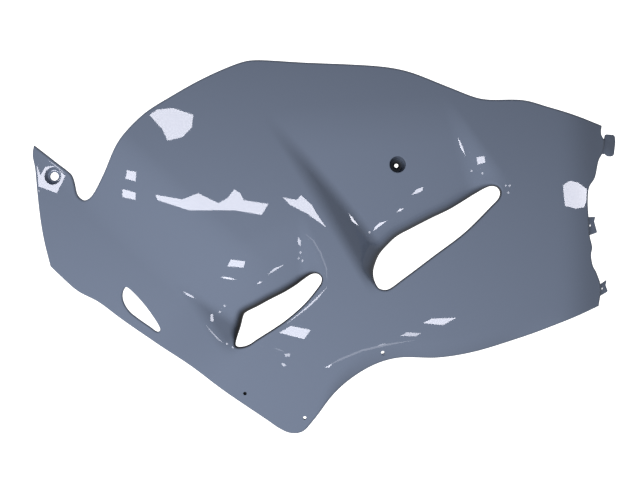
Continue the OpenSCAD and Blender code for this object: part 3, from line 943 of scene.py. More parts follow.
@dataclass
class SurfaceGroups:
    """Node groups that both finishes share: the relief of the surface and its dust.

    The relief puts out a height in millimetres. The dust puts out a roughness that rises a little
    in soft patches. Scales are repeats of a pattern in a metre.
    """

    wave_scale: float = 22.0
    peel_scale: float = 220.0
    relief_detail: float = 1.0
    dust_scale: float = 14.0
    dust_detail: float = 3.0
    dust_range: tuple[float, float] = (-0.15, 0.2)
    relief: bpy.types.NodeTree = field(init=False)
    dust: bpy.types.NodeTree = field(init=False)

    def __post_init__(self) -> None:
        """Builds the two groups."""
        self.relief = self.build_relief()
        self.dust = self.build_dust()

    @staticmethod
    def noise(tree: bpy.types.NodeTree, start: bpy.types.Node, scale: float,
              detail: float) -> bpy.types.Node:
        """A noise pattern of a given scale, centred on zero.

        Args:
            tree: tree to build in.
            start: the node with the place that the pattern is read at.
            scale: repeats in a metre.
            detail: octaves of the pattern.

        Returns:
            The node that puts out the pattern's height.
        """
        noise = new_node(tree, "ShaderNodeTexNoise", {"Scale": scale, "Detail": detail})
        centred = new_node(tree, "ShaderNodeMath", {1: 0.5}, operation="SUBTRACT")
        wire(tree, (start, "Place", noise, "Vector"), (noise, "Fac", centred, 0))
        return centred

    def build_relief(self) -> bpy.types.NodeTree:
        """Low waves of the moulding and the fine orange peel of the lacquer.

        Returns:
            The group.
        """
        tree, start, end = node_group(
            "surface_relief", "ShaderNodeTree",
            {"Place": "Vector", "Wave": "Float", "Peel": "Float"}, {"Height": "Float"})
        total = new_node(tree, "ShaderNodeMath", operation="ADD")
        for number, (name, scale) in enumerate((("Wave", self.wave_scale), ("Peel", self.peel_scale))):
            pattern = self.noise(tree, start, scale, self.relief_detail)
            scaled = new_node(tree, "ShaderNodeMath", operation="MULTIPLY")
            wire(tree, (pattern, 0, scaled, 0), (start, name, scaled, 1), (scaled, 0, total, number))
        wire(tree, (total, 0, end, "Height"))
        return tree

    def build_dust(self) -> bpy.types.NodeTree:
        """Soft patches of dust.

        Returns:
            The group.
        """
        tree, start, end = node_group(
            "light_dust", "ShaderNodeTree",
            {"Place": "Vector", "Clean": "Float", "Dusty": "Float"}, {"Roughness": "Float"})
        low, high = self.dust_range
        pattern = self.noise(tree, start, self.dust_scale, self.dust_detail)
        spread = new_node(tree, "ShaderNodeMapRange", {"From Min": low, "From Max": high})
        wire(tree, (pattern, 0, spread, "Value"), (start, "Clean", spread, "To Min"),
             (start, "Dusty", spread, "To Max"), (spread, "Result", end, "Roughness"))
        return tree

    def material(self, name: str, relief: dict[str, float],
                 dust: dict[str, float]) -> bpy.types.Material:
        """A material with the relief and the dust on its shader.

        Args:
            name: its name.
            relief: values of the relief's inputs, in millimetres.
            dust: values of the dust's inputs.

        Returns:
            The material.
        """
        mat = bpy.data.materials.new(name)
        mat.use_nodes = True
        tree = mat.node_tree
        shader, coords = tree.nodes["Principled BSDF"], new_node(tree, "ShaderNodeTexCoord")
        height = new_node(tree, "ShaderNodeGroup", relief, node_tree=self.relief)
        rough = new_node(tree, "ShaderNodeGroup", dust, node_tree=self.dust)
        bump = new_node(tree, "ShaderNodeBump", {"Distance": MM, "Strength": 1.0})
        wire(tree, (coords, "Object", height, "Place"), (coords, "Object", rough, "Place"),
             (height, "Height", bump, "Height"), (bump, "Normal", shader, "Normal"),
             (rough, "Roughness", shader, "Roughness"))
        return mat


@dataclass(frozen=True)
class Paint:
    """Glossy slate-blue paint on a slightly wavy moulding, darkened where shade is painted into it."""

    name: str = "slate_paint"
    colour: tuple[float, float, float] = (0.150, 0.181, 0.251)
    # near-black colour of the painted shade in roll-ins and the main cup
    shade_colour: tuple[float, float, float] = (0.014, 0.013, 0.013)
    clean: float = 0.02
    dusty: float = 0.035
    wave: float = 0.06
    peel: float = 0.004

    def build(self, groups: SurfaceGroups) -> bpy.types.Material:
        """The paint's material, which reads its painted shade from the mesh.

        Args:
            groups: the shared node groups.

        Returns:
            The material.
        """
        mat = groups.material(self.name, {"Wave": self.wave, "Peel": self.peel},
                              {"Clean": self.clean, "Dusty": self.dusty})
        tree = mat.node_tree
        # painted shade: the mesh's share mixes the paint towards the shade colour
        unshaded = new_node(tree, "ShaderNodeAttribute", attribute_name="unshaded")
        colours = {"A": (*self.shade_colour, 1.0), "B": (*self.colour, 1.0)}
        mix = new_node(tree, "ShaderNodeMix", colours, data_type="RGBA")
        wire(tree, (unshaded, "Fac", mix, "Factor"),
             (mix, "Result", tree.nodes["Principled BSDF"], "Base Color"))
        return mat


@dataclass(frozen=True)
class BareMoulding:
    """The unpainted back of the moulding: dark plastic with a fine grain."""

    name: str = "bare_moulding"
    colour: tuple[float, float, float] = (0.035, 0.037, 0.042)
    clean: float = 0.5
    dusty: float = 0.7
    grain: float = 0.05

    def build(self, groups: SurfaceGroups) -> bpy.types.Material:
        """The bare plastic's material.

        Args:
            groups: the shared node groups.

        Returns:
            The material.
        """
        mat = groups.material(self.name, {"Wave": 0.0, "Peel": self.grain},
                              {"Clean": self.clean, "Dusty": self.dusty})
        mat.node_tree.nodes["Principled BSDF"].inputs["Base Color"].default_value = (*self.colour, 1.0)
        return mat


@dataclass
class Finishes:
    """The two finishes of the moulding."""

    groups: SurfaceGroups = field(default_factory=SurfaceGroups)
    paint: bpy.types.Material = field(init=False)
    bare: bpy.types.Material = field(init=False)

    def __post_init__(self) -> None:
        """Builds both materials."""
        self.paint = Paint().build(self.groups)
        self.bare = BareMoulding().build(self.groups)


def dressed(mesh: bpy.types.Mesh, name: str, materials: list[bpy.types.Material]) -> bpy.types.Object:
    """A finished piece of the moulding in the scene.

    Args:
        mesh: its mesh, in place and in metres.
        name: name of the piece.
        materials: its materials, in slot order.

    Returns:
        The object, riding the part's own body.
    """
    # pieces without painted shade keep the paint's whole colour
    if "unshaded" not in mesh.attributes:
        set_painted_shade(mesh, np.ones(len(mesh.vertices)))
    if not mesh.materials:
        for material in materials:
            mesh.materials.append(material)
    shade_smooth(mesh)
    piece = added(name, mesh)
    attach(piece, "root")
    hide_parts(NODE)
    log.info("%s: %d triangles", name, sum(len(p.vertices) - 2 for p in mesh.polygons))
    return piece


@dataclass
class PanelSkin:
    """The moulded skin with its edges, vents, slot, fixing cups and screw holes."""

    form: SkinForm
    screws: tuple[tuple[float, float], ...] = ((308.0, -341.0), (401.0, -381.0), (522.0, -276.0))
    # share of paint colour down the main cup; the low end paints shade onto its floor
    main_cup_unshaded: tuple[float, ...] = (1.0, 1.0, 1.0, 1.0, 1.0, 1.0, 1.0, 0.85, 0.7, 0.5, 0.0)

    def build(self, finishes: Finishes) -> bpy.types.Object:
        """The skin in the scene, with all its rims.

        Args:
            finishes: paint and bare plastic.

        Returns:
            The skin.
        """
        f = self.form
        rims = [
            OuterEdge(f).rim(),
            # each vent edge's two angles set where painted shade begins and ends in its roll-in
            VentEdge(f, LARGE_VENT, tight=4.0, scoop=LARGE_SCOOP, wide=26.0, full_at=20.0,
                     shade_angles=(25.0, 80.0)).rim(),
            VentEdge(f, SMALL_VENT, tight=4.0, scoop=SMALL_SCOOP, wide=17.0, full_at=22.0,
                     shade_angles=(10.0, 60.0)).rim(),
            VentEdge(f, DRAIN_SLOT, tight=3.4, rough_steps=42).rim(),
            FixingCup(f, (0.0, 0.0), mouth=27.0, floor=21.0, hole=13.5, depth=10.0,
                      mouth_round=0.6).rim(),
            # the main cup gets painted shade down its wall and onto its floor
            FixingCup(f, (545.0, 15.0), mouth=25.0, floor=20.0, hole=6.2, depth=30.0,
                      mouth_round=1.4, unshaded=self.main_cup_unshaded).rim(),
        ] + [ScrewHole(f, at).rim() for at in self.screws]
        return dressed(SkinMesh(f, rims).build("skin"), "skin", [finishes.paint, finishes.bare])


@dataclass
class ScrewBosses:
    """The short tubes behind the three lower screw holes; a blind one is closed by a disc.

    Their front ends lie in the wall of the skin, behind the painted face by the overlap.
    """

    form: SkinForm
    places: tuple[tuple[float, float], ...]
    outer: float = 12.0
    hole: float = SCREW_HOLE
    depth: float = 9.0
    sunk: float = 4.0
    overlap: float = 1.4
    blind: int = 0
    end: float = 2.0
    end_gap: float = 0.05
    steps: int = 48

    def tree(self) -> bpy.types.NodeTree:
        """The node tree that puts one tube at each point of the mesh it is given.

        Returns:
            The tree.
        """
        sizes = ("Middle Radius", "Tube Wall", "Tube Length", "End Thickness", "End Shift")
        tree, start, end = node_group(
            "screw_bosses", "GeometryNodeTree",
            {"Geometry": "Geometry", **dict.fromkeys(sizes, "Float"), "Finish": "Material"},
            {"Geometry": "Geometry"})
        lying = {"Rotation": (math.pi / 2, 0.0, 0.0)}
        ring = new_node(tree, "GeometryNodeCurvePrimitiveCircle", {"Resolution": self.steps})
        section = new_node(tree, "GeometryNodeCurvePrimitiveQuadrilateral")
        tube = new_node(tree, "GeometryNodeCurveToMesh")
        tubes = new_node(tree, "GeometryNodeInstanceOnPoints", lying)
        shift, moved = new_node(tree, "ShaderNodeCombineXYZ"), new_node(tree, "GeometryNodeSetPosition")
        disc = new_node(tree, "GeometryNodeMeshCylinder", {"Vertices": self.steps})
        blind = new_node(tree, "GeometryNodeInputNamedAttribute", {"Name": "blind"}, data_type="BOOLEAN")
        discs = new_node(tree, "GeometryNodeInstanceOnPoints", lying)
        both = new_node(tree, "GeometryNodeJoinGeometry")
        real = new_node(tree, "GeometryNodeRealizeInstances")
        finish = new_node(tree, "GeometryNodeSetMaterial")
        wire(tree, (start, "Middle Radius", ring, "Radius"), (start, "Tube Wall", section, "Width"),
             (start, "Tube Length", section, "Height"), (ring, "Curve", tube, "Curve"),
             (section, "Curve", tube, "Profile Curve"), (start, "Geometry", tubes, "Points"),
             (tube, "Mesh", tubes, "Instance"), (start, "End Shift", shift, "Y"),
             (start, "Geometry", moved, "Geometry"), (shift, "Vector", moved, "Offset"),
             (start, "Middle Radius", disc, "Radius"), (start, "End Thickness", disc, "Depth"),
             (moved, "Geometry", discs, "Points"), (blind, "Attribute", discs, "Selection"),
             (disc, "Mesh", discs, "Instance"), (tubes, "Instances", both, "Geometry"),
             (discs, "Instances", both, "Geometry"), (both, "Geometry", real, "Geometry"),
             (real, "Geometry", finish, "Geometry"), (start, "Finish", finish, "Material"),
             (finish, "Geometry", end, "Geometry"))
        return tree

    def build(self, finishes: Finishes) -> bpy.types.Object:
        """The bosses in the scene, with their front ends sunk into the skin's wall.

        Args:
            finishes: paint and bare plastic.

        Returns:
            The bosses.
        """
        at = np.array(self.places)
        length = self.depth + self.sunk
        middle = self.form.on_skin(at)
        middle[:, 1] += self.depth - length / 2
        seeds = bpy.data.meshes.new("boss_places")
        seeds.from_pydata((middle * MM).tolist(), [], [])
        marks = seeds.attributes.new("blind", "BOOLEAN", "POINT")
        marks.data[self.blind].value = True
        carrier = added("boss_places", seeds)
        modifier = carrier.modifiers.new("bosses", "NODES")
        modifier.node_group = self.tree()
        values = {"Middle Radius": (self.outer + self.hole) / 4 * MM,
                  "Tube Wall": (self.outer - self.hole) / 2 * MM,
                  "Tube Length": length * MM, "Finish": finishes.bare,
                  "End Thickness": self.end * MM,
                  "End Shift": (length / 2 - self.end / 2 - self.end_gap) * MM}
        for item in modifier.node_group.interface.items_tree:
            if item.in_out == "INPUT" and item.name in values:
                modifier[item.identifier] = values[item.name]
        mesh = applied(carrier, "screw_bosses")
        v = np.zeros(len(mesh.vertices) * 3)
        mesh.vertices.foreach_get("co", v)
        v = v.reshape(-1, 3) / MM
        nearest = np.argmin(np.linalg.norm(v[:, None, [0, 2]] - at[None], axis=2), axis=1)
        front = v[:, 1] < middle[nearest, 1]
        v[front, 1] = self.form.depth(v[front][:, [0, 2]]) + self.overlap
        mesh.vertices.foreach_set("co", (v * MM).ravel())
        return dressed(mesh, "screw_bosses", [finishes.bare])


@dataclass(frozen=True)
class Corner:
    """A corner of a flat tab, in millimetres from its place on the edge, and its radius."""

    x: float
    z: float
    radius: float = 0.0


@dataclass(frozen=True)
class FrontTab:
    """A flat tab that steps back from the front edge, following the fall of the skin.

    Edges that turn by more than bevel_from, in degrees, get a bevel.
    """

    name: str
    at: tuple[float, float]
    corners: tuple[Corner, ...]
    hole: tuple[float, float] | None = None
    hole_width: float = 4.5
    hole_steps: int = 32
    corner_steps: int = 8
    thickness: float = 2.5
    step: float = 5.0
    bevel: float = 0.4
    bevel_from: float = 50.0
    bevel_segments: int = 2

    def outline(self) -> Array:
        """The tab's outline with its corners rounded, anticlockwise.

        Returns:
            The places of the outline in the tab's own axes.
        """
        out, n = [], len(self.corners)
        for k, corner in enumerate(self.corners):
            p = np.array([corner.x, corner.z])
            a, b = self.corners[k - 1], self.corners[(k + 1) % n]
            u, v = unit(np.array([a.x, a.z]) - p), unit(np.array([b.x, b.z]) - p)
            if corner.radius == 0:
                out.append(p)
                continue
            half = math.acos(float(u @ v)) / 2
            middle = p + unit(u + v) * corner.radius / math.sin(half)
            ends = (p + w * corner.radius / math.tan(half) for w in (u, v))
            a0, a1 = (math.atan2(*(q - middle)[::-1]) for q in ends)
            turn = (a1 - a0 + math.pi) % (2 * math.pi) - math.pi
            for t in np.linspace(0, 1, self.corner_steps + 1):
                a = a0 + turn * t
                out.append(middle + corner.radius * np.array([math.cos(a), math.sin(a)]))
        return np.array(out)

    def build(self, form: SkinForm, finishes: Finishes) -> bpy.types.Object:
        """The tab in the scene.

        Args:
            form: the painted face that it is moulded to.
            finishes: paint and bare plastic.

        Returns:
            The tab.
        """
        loops = [self.outline()]
        if self.hole:
            clockwise = circle(self.hole_steps, self.hole_width / 2) * np.array([1.0, -1.0])
            loops.append(np.array(self.hole) + clockwise)
        flat, faces = flat_net(loops)
        n = len(flat)
        local = np.vstack([np.insert(flat, 1, self.step, axis=1),
                           np.insert(flat, 1, self.step + self.thickness, axis=1)])
        solid = [tuple(map(int, f)) for f in faces] + [tuple(int(v) + n for v in f[::-1]) for f in faces]
        first = 0
        for loop in loops:
            ring = [first + k for k in range(len(loop))]
            first += len(loop)
            solid += [(b, a, a + n, b + n) for a, b in zip(ring, ring[1:] + ring[:1])]
        mesh = bpy.data.meshes.new(self.name)
        mesh.from_pydata((self.placed(form, local) * MM).tolist(), [], solid)
        mesh.validate()
        return self.bevelled(mesh, finishes)

    def placed(self, form: SkinForm, local: Array) -> Array:
        """Points of the tab, put on the edge of the skin and turned to its slope.

        Args:
            form: the painted face.
            local: the points in the tab's own axes.

        Returns:
            The points in the frame of the panel.
        """
        at = np.array([self.at])
        f = form.facing(at)[0]
        slope = np.array([-f[0] / f[1], -f[2] / f[1]])
        turn = math.atan(slope[0])
        tip = -math.atan(slope[1] * math.cos(turn))
        about_x = np.array([[1, 0, 0], [0, math.cos(tip), -math.sin(tip)],
                            [0, math.sin(tip), math.cos(tip)]])
        about_z = np.array([[math.cos(turn), -math.sin(turn), 0],
                            [math.sin(turn), math.cos(turn), 0], [0, 0, 1]])
        return local @ (about_z @ about_x).T + form.on_skin(at)

    def bevelled(self, mesh: bpy.types.Mesh, finishes: Finishes) -> bpy.types.Object:
        """The tab with small bevels on its sharp edges.

        Args:
            mesh: the tab with sharp edges.
            finishes: paint and bare plastic.

        Returns:
            The finished tab.
        """
        raw = added(self.name + "_raw", mesh)
        bevel = raw.modifiers.new("edge", "BEVEL")
        bevel.width = self.bevel * MM
        bevel.segments = self.bevel_segments
        bevel.limit_method = "ANGLE"
        bevel.angle_limit = math.radians(self.bevel_from)
        return dressed(applied(raw, self.name), self.name, [finishes.paint])


FRONT_HOOK = FrontTab("front_hook", (872.0, 46.0), (
    Corner(-12, -11), Corner(16, -9), Corner(22, -12.5, 3), Corner(35, -12.5, 8),
    Corner(42.5, 11, 12), Corner(43.5, 23.5, 5), Corner(22, 23.5, 3), Corner(16, 11),
    Corner(4, 15), Corner(-12, 15)))
MIDDLE_TAB = FrontTab("middle_tab", (846.0, -79.0), (
    Corner(-12, -18), Corner(5, -16), Corner(24, -11, 2), Corner(17.5, 6.5),
    Corner(20, 14, 1), Corner(-12, 13)), hole=(9.5, 0.0))
LOWER_TAB = FrontTab("lower_tab", (869.0, -182.0), (
    Corner(-12, -16), Corner(7, -10), Corner(25, -3, 2), Corner(18.5, 7.5),
    Corner(20, 15), Corner(8, 9), Corner(4, 12), Corner(-12, 10)), hole=(12.0, 2.0))


@dataclass
class FrontTabs:
    """The hook and the two screw tabs along the front edge."""

    form: SkinForm
    tabs: tuple[FrontTab, ...] = (FRONT_HOOK, MIDDLE_TAB, LOWER_TAB)

    def build(self, finishes: Finishes) -> list[bpy.types.Object]:
        """The three tabs in the scene."""
        return [tab.build(self.form, finishes) for tab in self.tabs]


@dataclass(frozen=True)
class PhotoCamera:
    """The camera at the photograph's place: level, square to the panel's length.

    The width of a pixel is in millimetres, at the depth of the origin.
    """

    place: tuple[float, float, float] = (421.8, -1700.0, -99.5)
    image: tuple[int, int] = (636, 477)
    pixel: float = 1.6
    sensor: float = 36.0
    rounds: int = 12

    def build(self) -> bpy.types.Object:
        """The camera in the scene.

        Returns:
            The camera, which the scene looks through.
        """
        data = bpy.data.cameras.new("photo_camera")
        data.sensor_width = self.sensor
        data.lens = self.sensor * -self.place[1] / (self.image[0] * self.pixel)
        camera = added("photo_camera", data)
        camera.location = Vector(self.place) * MM
        camera.rotation_euler = (math.pi / 2, 0.0, 0.0)
        bpy.context.scene.camera = camera
        return camera

    def seen(self, form: SkinForm, pixels: Array) -> Array:
        """Places of the side view that the camera sees at pixels of the image.

        Args:
            form: the painted face.
            pixels: columns and rows of the image.

        Returns:
            The places on the face, as X and Z.
        """
        eye = np.array([self.place[0], self.place[2]])
        offset = (pixels - np.array(self.image) / 2) * np.array([self.pixel, -self.pixel])
        places = eye + offset
        for _ in range(self.rounds):
            places = eye + offset * (1 - form.depth(places) / self.place[1])[:, None]
        return places


@dataclass(frozen=True)
class Glint:
    """A bright card of the studio, shaped so that the paint mirrors it where the photo does.

    Its outline is where its mirror image lies, in pixels of the image. A gap in it is round, with
    its middle and its radius. Its light ends at its reach, in distances of the card from the
    paint, so that it doesn't show again in a hollow further off.
    """

    name: str
    outline: tuple[tuple[float, float], ...]
    strength: float = 16.0
    distance: float = 100.0
    gap: tuple[float, float, float] | None = None
    gap_steps: int = 24
    step: float = 4.0
    reach: float = 1.3
    colour: tuple[float, float, float] = (0.93, 0.92, 1.0)

    def net(self) -> tuple[Array, Array]:
        """An even net over the mirror image.

        Returns:
            Its places in pixels, those of the outline first, and its triangles.
        """
        corners = np.array(self.outline)
        edge = []
        for a, b in zip(corners, np.roll(corners, -1, 0)):
            count = max(1, round(float(np.linalg.norm(b - a)) / self.step))
            edge += [a + (b - a) * k / count for k in range(count)]
        loop = np.array(edge)
        low, high = loop.min(0), loop.max(0)
        x, y = np.meshgrid(np.arange(low[0], high[0], self.step), np.arange(low[1], high[1], self.step))
        free = np.stack([x.ravel(), y.ravel()], axis=1)
        free = free[inside(loop, free)]
        loops = [loop]
        if self.gap:
            loops.append(np.array(self.gap[:2]) + circle(self.gap_steps, self.gap[2]))
            free = free[~inside(loops[1], free)]
        near = np.linalg.norm(free[:, None] - np.vstack(loops)[None], axis=2).min(axis=1)
        return flat_net(loops, free[near > self.step / 2])

    def build(self, form: SkinForm, camera: PhotoCamera) -> bpy.types.Object:
        """The card in the scene, seen only in reflections.

        Args:
            form: the painted face.
            camera: the camera that sees its mirror image.

        Returns:
            The card.
        """
        pixels, faces = self.net()
        places = camera.seen(form, pixels)
        points, out = form.on_skin(places), form.facing(places)
        view = unit(points - np.array(camera.place))
        mirrored = view - 2 * np.sum(view * out, axis=1, keepdims=True) * out
        mesh = bpy.data.meshes.new(self.name)
        mesh.from_pydata(((points + mirrored * self.distance) * MM).tolist(), [], faces.tolist())
        reach = self.distance * MM * self.reach
        mesh.materials.append(glow(self.name, self.strength, self.colour, reach))
        card = added(self.name, mesh)
        card.visible_camera = card.visible_diffuse = card.visible_shadow = False
        return card


def glow(name: str, strength: float, colour: tuple[float, float, float],
         reach: float | None = None) -> bpy.types.Material:
    """A plain light-giving material, which can be kept to what stands close to it.

    Args:
        name: its name.
        strength: its brightness.
        colour: its colour.
        reach: length in metres past which its light isn't seen, or None for no end.

    Returns:
        The material.
    """
    mat = bpy.data.materials.new(name)
    mat.use_nodes = True
    tree, end = mat.node_tree, mat.node_tree.nodes["Material Output"]
    tree.nodes.remove(tree.nodes["Principled BSDF"])
    emission = new_node(tree, "ShaderNodeEmission", {"Strength": strength, "Color": (*colour, 1.0)})
    if reach is None:
        wire(tree, (emission, 0, end, "Surface"))
        return mat
    path, clear = new_node(tree, "ShaderNodeLightPath"), new_node(tree, "ShaderNodeBsdfTransparent")
    near = new_node(tree, "ShaderNodeMath", {1: reach}, operation="LESS_THAN")
    mix = new_node(tree, "ShaderNodeMixShader")
    wire(tree, (path, "Ray Length", near, 0), (near, 0, mix, "Fac"), (clear, 0, mix, 1),
         (emission, 0, mix, 2), (mix, 0, end, "Surface"))
    return mat


def streak(name: str, width: float, *path: tuple[float, float], strength: float = 18.0,
           distance: float = 10.0) -> Glint:
    """A card for a thin highlight, pointed at both ends.

    Args:
        name: its name.
        width: width of the highlight in pixels.
        path: its middle line in pixels, three places or more.
        strength: brightness of the card.
        distance: how far the card stands from the paint, in millimetres.

    Returns:
        The card.
    """
    line = np.array(path, dtype=float)
    way = unit(np.gradient(line, axis=0))
    side = np.stack([-way[:, 1], way[:, 0]], axis=1)[1:-1] * width / 2
    loop = np.vstack([line[:1], line[1:-1] + side, line[-1:], (line[1:-1] - side)[::-1]])
    return Glint(name, tuple(map(tuple, loop.tolist())), strength, distance)


def dot(number: int, x: float, y: float, wide: float = 1.3, high: float = 1.4) -> Glint:
    """A card for a tiny highlight at a pixel, that many pixels wide and high on each side of it."""
    corners = ((x - wide, y), (x, y - high), (x + wide, y), (x, y + high))
    return Glint(f"dot_{number}", corners, strength=10.0, distance=3.0)


GLINTS = (
    Glint("bulge_window", ((149.7, 115), (157.5, 109.4), (173, 107.8), (193.4, 115), (191.9, 127.5),
                           (182.5, 136.9), (167.5, 140.6), (162.2, 129)), distance=200.0),
    Glint("tip_window", ((36.2, 164.6), (40.6, 175.2), (45, 167.2), (52, 165.6), (58.5, 169.5),
                         (65.2, 175.8), (57, 193.2), (38, 186.2)), distance=40.0,
          gap=(52.8, 175.4, 7.3)),
    Glint("left_pane_upper", ((126.9, 170.3), (136.3, 171.9), (135.6, 181.3), (125.6, 178.8))),
    Glint("left_pane_lower", ((122.5, 188.8), (135.6, 192.5), (135.6, 200), (122.5, 196.9))),
    Glint("middle_band", ((155.3, 194.7), (182.5, 199.4), (198.1, 193.1), (218.4, 203.1),
                          (227.8, 197.8), (234.1, 189.4), (240.3, 193.1), (243.4, 200), (268.3, 204),
                          (261.7, 215), (235.6, 210.3), (188.8, 210.3), (157.5, 200)), distance=90.0),
    Glint("middle_patch", ((282.7, 197.3), (296.7, 200), (301, 195), (311.7, 205), (316, 212.7),
                           (326, 227.3), (306.7, 213.3), (290, 205)), distance=90.0),
    Glint("floor_pane", ((411.7, 195.2), (416.5, 189.4), (423.3, 187), (422, 191.3)), distance=20.0),
    Glint("front_square", ((476.5, 157.3), (484.2, 156.2), (485.4, 162.5), (477.7, 164.4)),
          distance=20.0),
    Glint("front_window", ((563, 185), (570, 180.7), (578.6, 182.9), (587.9, 190), (587.1, 198.6),
                           (584.3, 207.1), (575.7, 208.6), (565, 206)), distance=90.0),
    Glint("small_pane", ((230.8, 259.5), (245.3, 261.3), (243.3, 267.5), (227.5, 266.2)), distance=20.0),
    Glint("scoop_pane", ((210.5, 314.5), (213, 314), (213.8, 321.5), (210.8, 321.5)),
          strength=14.0, distance=8.0),
    Glint("low_pane", ((290.8, 325.8), (310.5, 330), (304.2, 339.2), (279.2, 332.8)), distance=60.0),
    Glint("low_right_pane", ((400, 336), (406.7, 332.3), (421, 333.3), (415, 336.7)),
          strength=12.0, distance=90.0),
    Glint("arch_pane", ((422.7, 323.3), (431.7, 318.7), (456.7, 317.7), (443.3, 325)), distance=90.0),
    Glint("low_dot", ((284.4, 353.8), (290.4, 353.5), (289.6, 356.6), (285, 356.8)),
          strength=10.0, distance=30.0),
    Glint("low_dot_rear", ((281.2, 363.4), (283.6, 363.2), (286.4, 365.4), (283.6, 366.6)),
          strength=12.0, distance=30.0),
    streak("low_streak", 2.0, (324.4, 367.4), (328.6, 366.6), (332.2, 364.2)),
    streak("low_line", 1.2, (273.5, 347.8), (279, 349.6), (284.5, 351.9), strength=4.0),
    streak("tip_edge", 1.2, (47.6, 159.6), (57, 167), (66, 174.4), strength=10.0),
    streak("recess_line", 2.6, (348.8, 213.5), (353.0, 220.4), (358.8, 226.5), distance=3.0),
    streak("recess_arc", 2.6, (373.5, 230.6), (376.0, 227.7), (380.0, 224.2), (387.3, 220.7),
           distance=3.0),
    streak("floor_line", 2.4, (396.6, 212.2), (400.2, 209.9), (404, 208.1), distance=3.0),
    streak("small_line", 1.7, (220.7, 276.8), (224.7, 277.6), (231, 278.7), (236.2, 279.5)),
    streak("notch_line", 2.2, (183, 291.4), (187, 294), (191, 296.2), (195, 298.2), strength=14.0),
    streak("front_flank", 2.4, (457.5, 137), (461.5, 147), (465.6, 156)),
    streak("scoop_line", 2.4, (267.6, 274.8), (275, 269.2), (284.3, 264.6), strength=14.0, distance=3.0),
    streak("scoop_line_low", 2.0, (257, 283.9), (259.5, 282.6), (262.2, 281.8)),
    streak("diamond", 3.8, (298, 236.6), (299.2, 241.5), (300.4, 246.4), strength=13.0),
    streak("fold_line", 1.3, (205, 324), (212, 332.5), (218.5, 339.3), (224, 343), strength=8.0),
    streak("crease_line", 1.4, (305, 234), (313.3, 240.4), (320.7, 253.3), (326.3, 268), (327.2, 283),
           strength=2.5),
    streak("rim_line", 1.6, (327.2, 286.7), (318, 297.2), (307.8, 307), (284.6, 325.6), strength=14.0),
    streak("arch_line", 2.0, (323, 368.5), (340, 359.5), (362, 350.5), (388, 344.5), (416, 340),
           strength=3.0),
    streak("arch_glint", 1.8, (376, 346.5), (382, 344.8), (389, 343.6), strength=8.0),
) + tuple(dot(number, *place) for number, place in enumerate((
    (369.3, 232.2), (300.6, 252.6), (298.7, 258.4), (302.4, 260.8), (224.6, 305.8), (219.8, 311.8),
    (226.8, 343.8), (232.8, 347.2), (471.4, 170.8), (482.4, 173.2), (508.4, 192.8), (505.9, 185.5),
    (509.6, 185.6), (38.4, 190.8))))


@dataclass(frozen=True)
class SoftLamp:
    """A large soft lamp aimed at the middle of the panel, from an azimuth and an elevation."""

    name: str
    azimuth: float
    elevation: float
    power: float
    aim: tuple[float, float, float] = (0.40, -0.05, -0.14)
    distance: float = 2.4
    wide: float = 1.6
    high: float = 1.4

    def build(self) -> bpy.types.Object:
        """The lamp in the scene, out of the paint's reflections.

        Returns:
            The lamp.
        """
        az, el = math.radians(self.azimuth), math.radians(self.elevation)
        way = Vector((math.sin(az) * math.cos(el), -math.cos(az) * math.cos(el), math.sin(el)))
        data = bpy.data.lights.new(self.name, "AREA")
        data.shape = "RECTANGLE"
        data.size, data.size_y, data.energy = self.wide, self.high, self.power
        lamp = added(self.name, data)
        lamp.location = Vector(self.aim) + way * self.distance
        lamp.rotation_euler = way.to_track_quat("Z", "Y").to_euler()
        lamp.visible_glossy = False
        return lamp


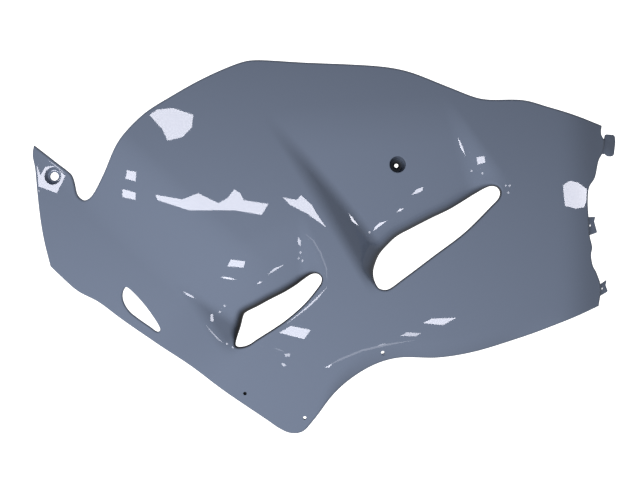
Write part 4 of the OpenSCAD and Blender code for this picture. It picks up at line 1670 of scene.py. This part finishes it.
@dataclass
class Studio:
    """White floor and backdrop, soft light all round, two lamps and the bright cards.

    Its sizes are in metres. The floor runs to the back, turns up in a bend and rises to the top.
    """

    form: SkinForm
    lamps: tuple[SoftLamp, ...] = (
        SoftLamp("key_light", azimuth=-21.0, elevation=-25.0, power=64.0),
        SoftLamp("back_light", azimuth=180.0, elevation=10.0, power=40.0))
    floor: float = -0.62
    front: float = -6.0
    back: float = 4.0
    top: float = 5.0
    bend: float = 1.0
    bend_steps: int = 16
    sides: tuple[float, float] = (-6.0, 6.8)
    white: float = 1.6
    light: float = 0.26
    light_colour: tuple[float, float, float] = (0.95, 0.97, 1.0)

    def build(self, camera: PhotoCamera) -> None:
        """The studio in the scene.

        Args:
            camera: the camera that sees the cards in the paint.
        """
        cards = [glint.build(self.form, camera) for glint in GLINTS]
        for lamp in self.lamps:
            lamp.build()
        self.sweep()
        world = bpy.data.worlds.new("studio")
        bpy.context.scene.world = world
        world.use_nodes = True
        around = world.node_tree.nodes["Background"].inputs
        around["Color"].default_value = (*self.light_colour, 1.0)
        around["Strength"].default_value = self.light

    def sweep(self) -> bpy.types.Object:
        """Floor and backdrop in one sweep.

        Returns:
            The sweep.
        """
        profile = [(self.front, self.floor), (self.back, self.floor)]
        profile += [(self.back + self.bend * math.sin(a), self.floor + self.bend * (1 - math.cos(a)))
                    for a in np.linspace(0, math.pi / 2, self.bend_steps + 1)[1:]]
        profile += [(self.back + self.bend, self.top)]
        verts = [(x, y, z) for y, z in profile for x in self.sides]
        faces = [(2 * k, 2 * k + 1, 2 * k + 3, 2 * k + 2) for k in range(len(profile) - 1)]
        mesh = bpy.data.meshes.new("studio_sweep")
        mesh.from_pydata(verts, [], faces)
        mesh.polygons.foreach_set("use_smooth", [True] * len(faces))
        mesh.materials.append(glow("studio_white", self.white, (1.0, 1.0, 1.0)))
        sweep = added("studio_sweep", mesh)
        sweep.visible_glossy = sweep.visible_diffuse = sweep.visible_shadow = False
        return sweep


def main() -> None:
    """Builds the panel, its studio and the camera."""
    logging.basicConfig(level=logging.INFO, format="%(message)s")
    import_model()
    camera = PhotoCamera()
    camera.build()
    finishes = Finishes()
    form = SkinForm()
    panel = PanelSkin(form)
    panel.build(finishes)
    ScrewBosses(form, panel.screws).build(finishes)
    FrontTabs(form).build(finishes)
    Studio(form).build(camera)
    bpy.context.scene.view_settings.view_transform = "Standard"


if __name__ == "__main__":
    main()
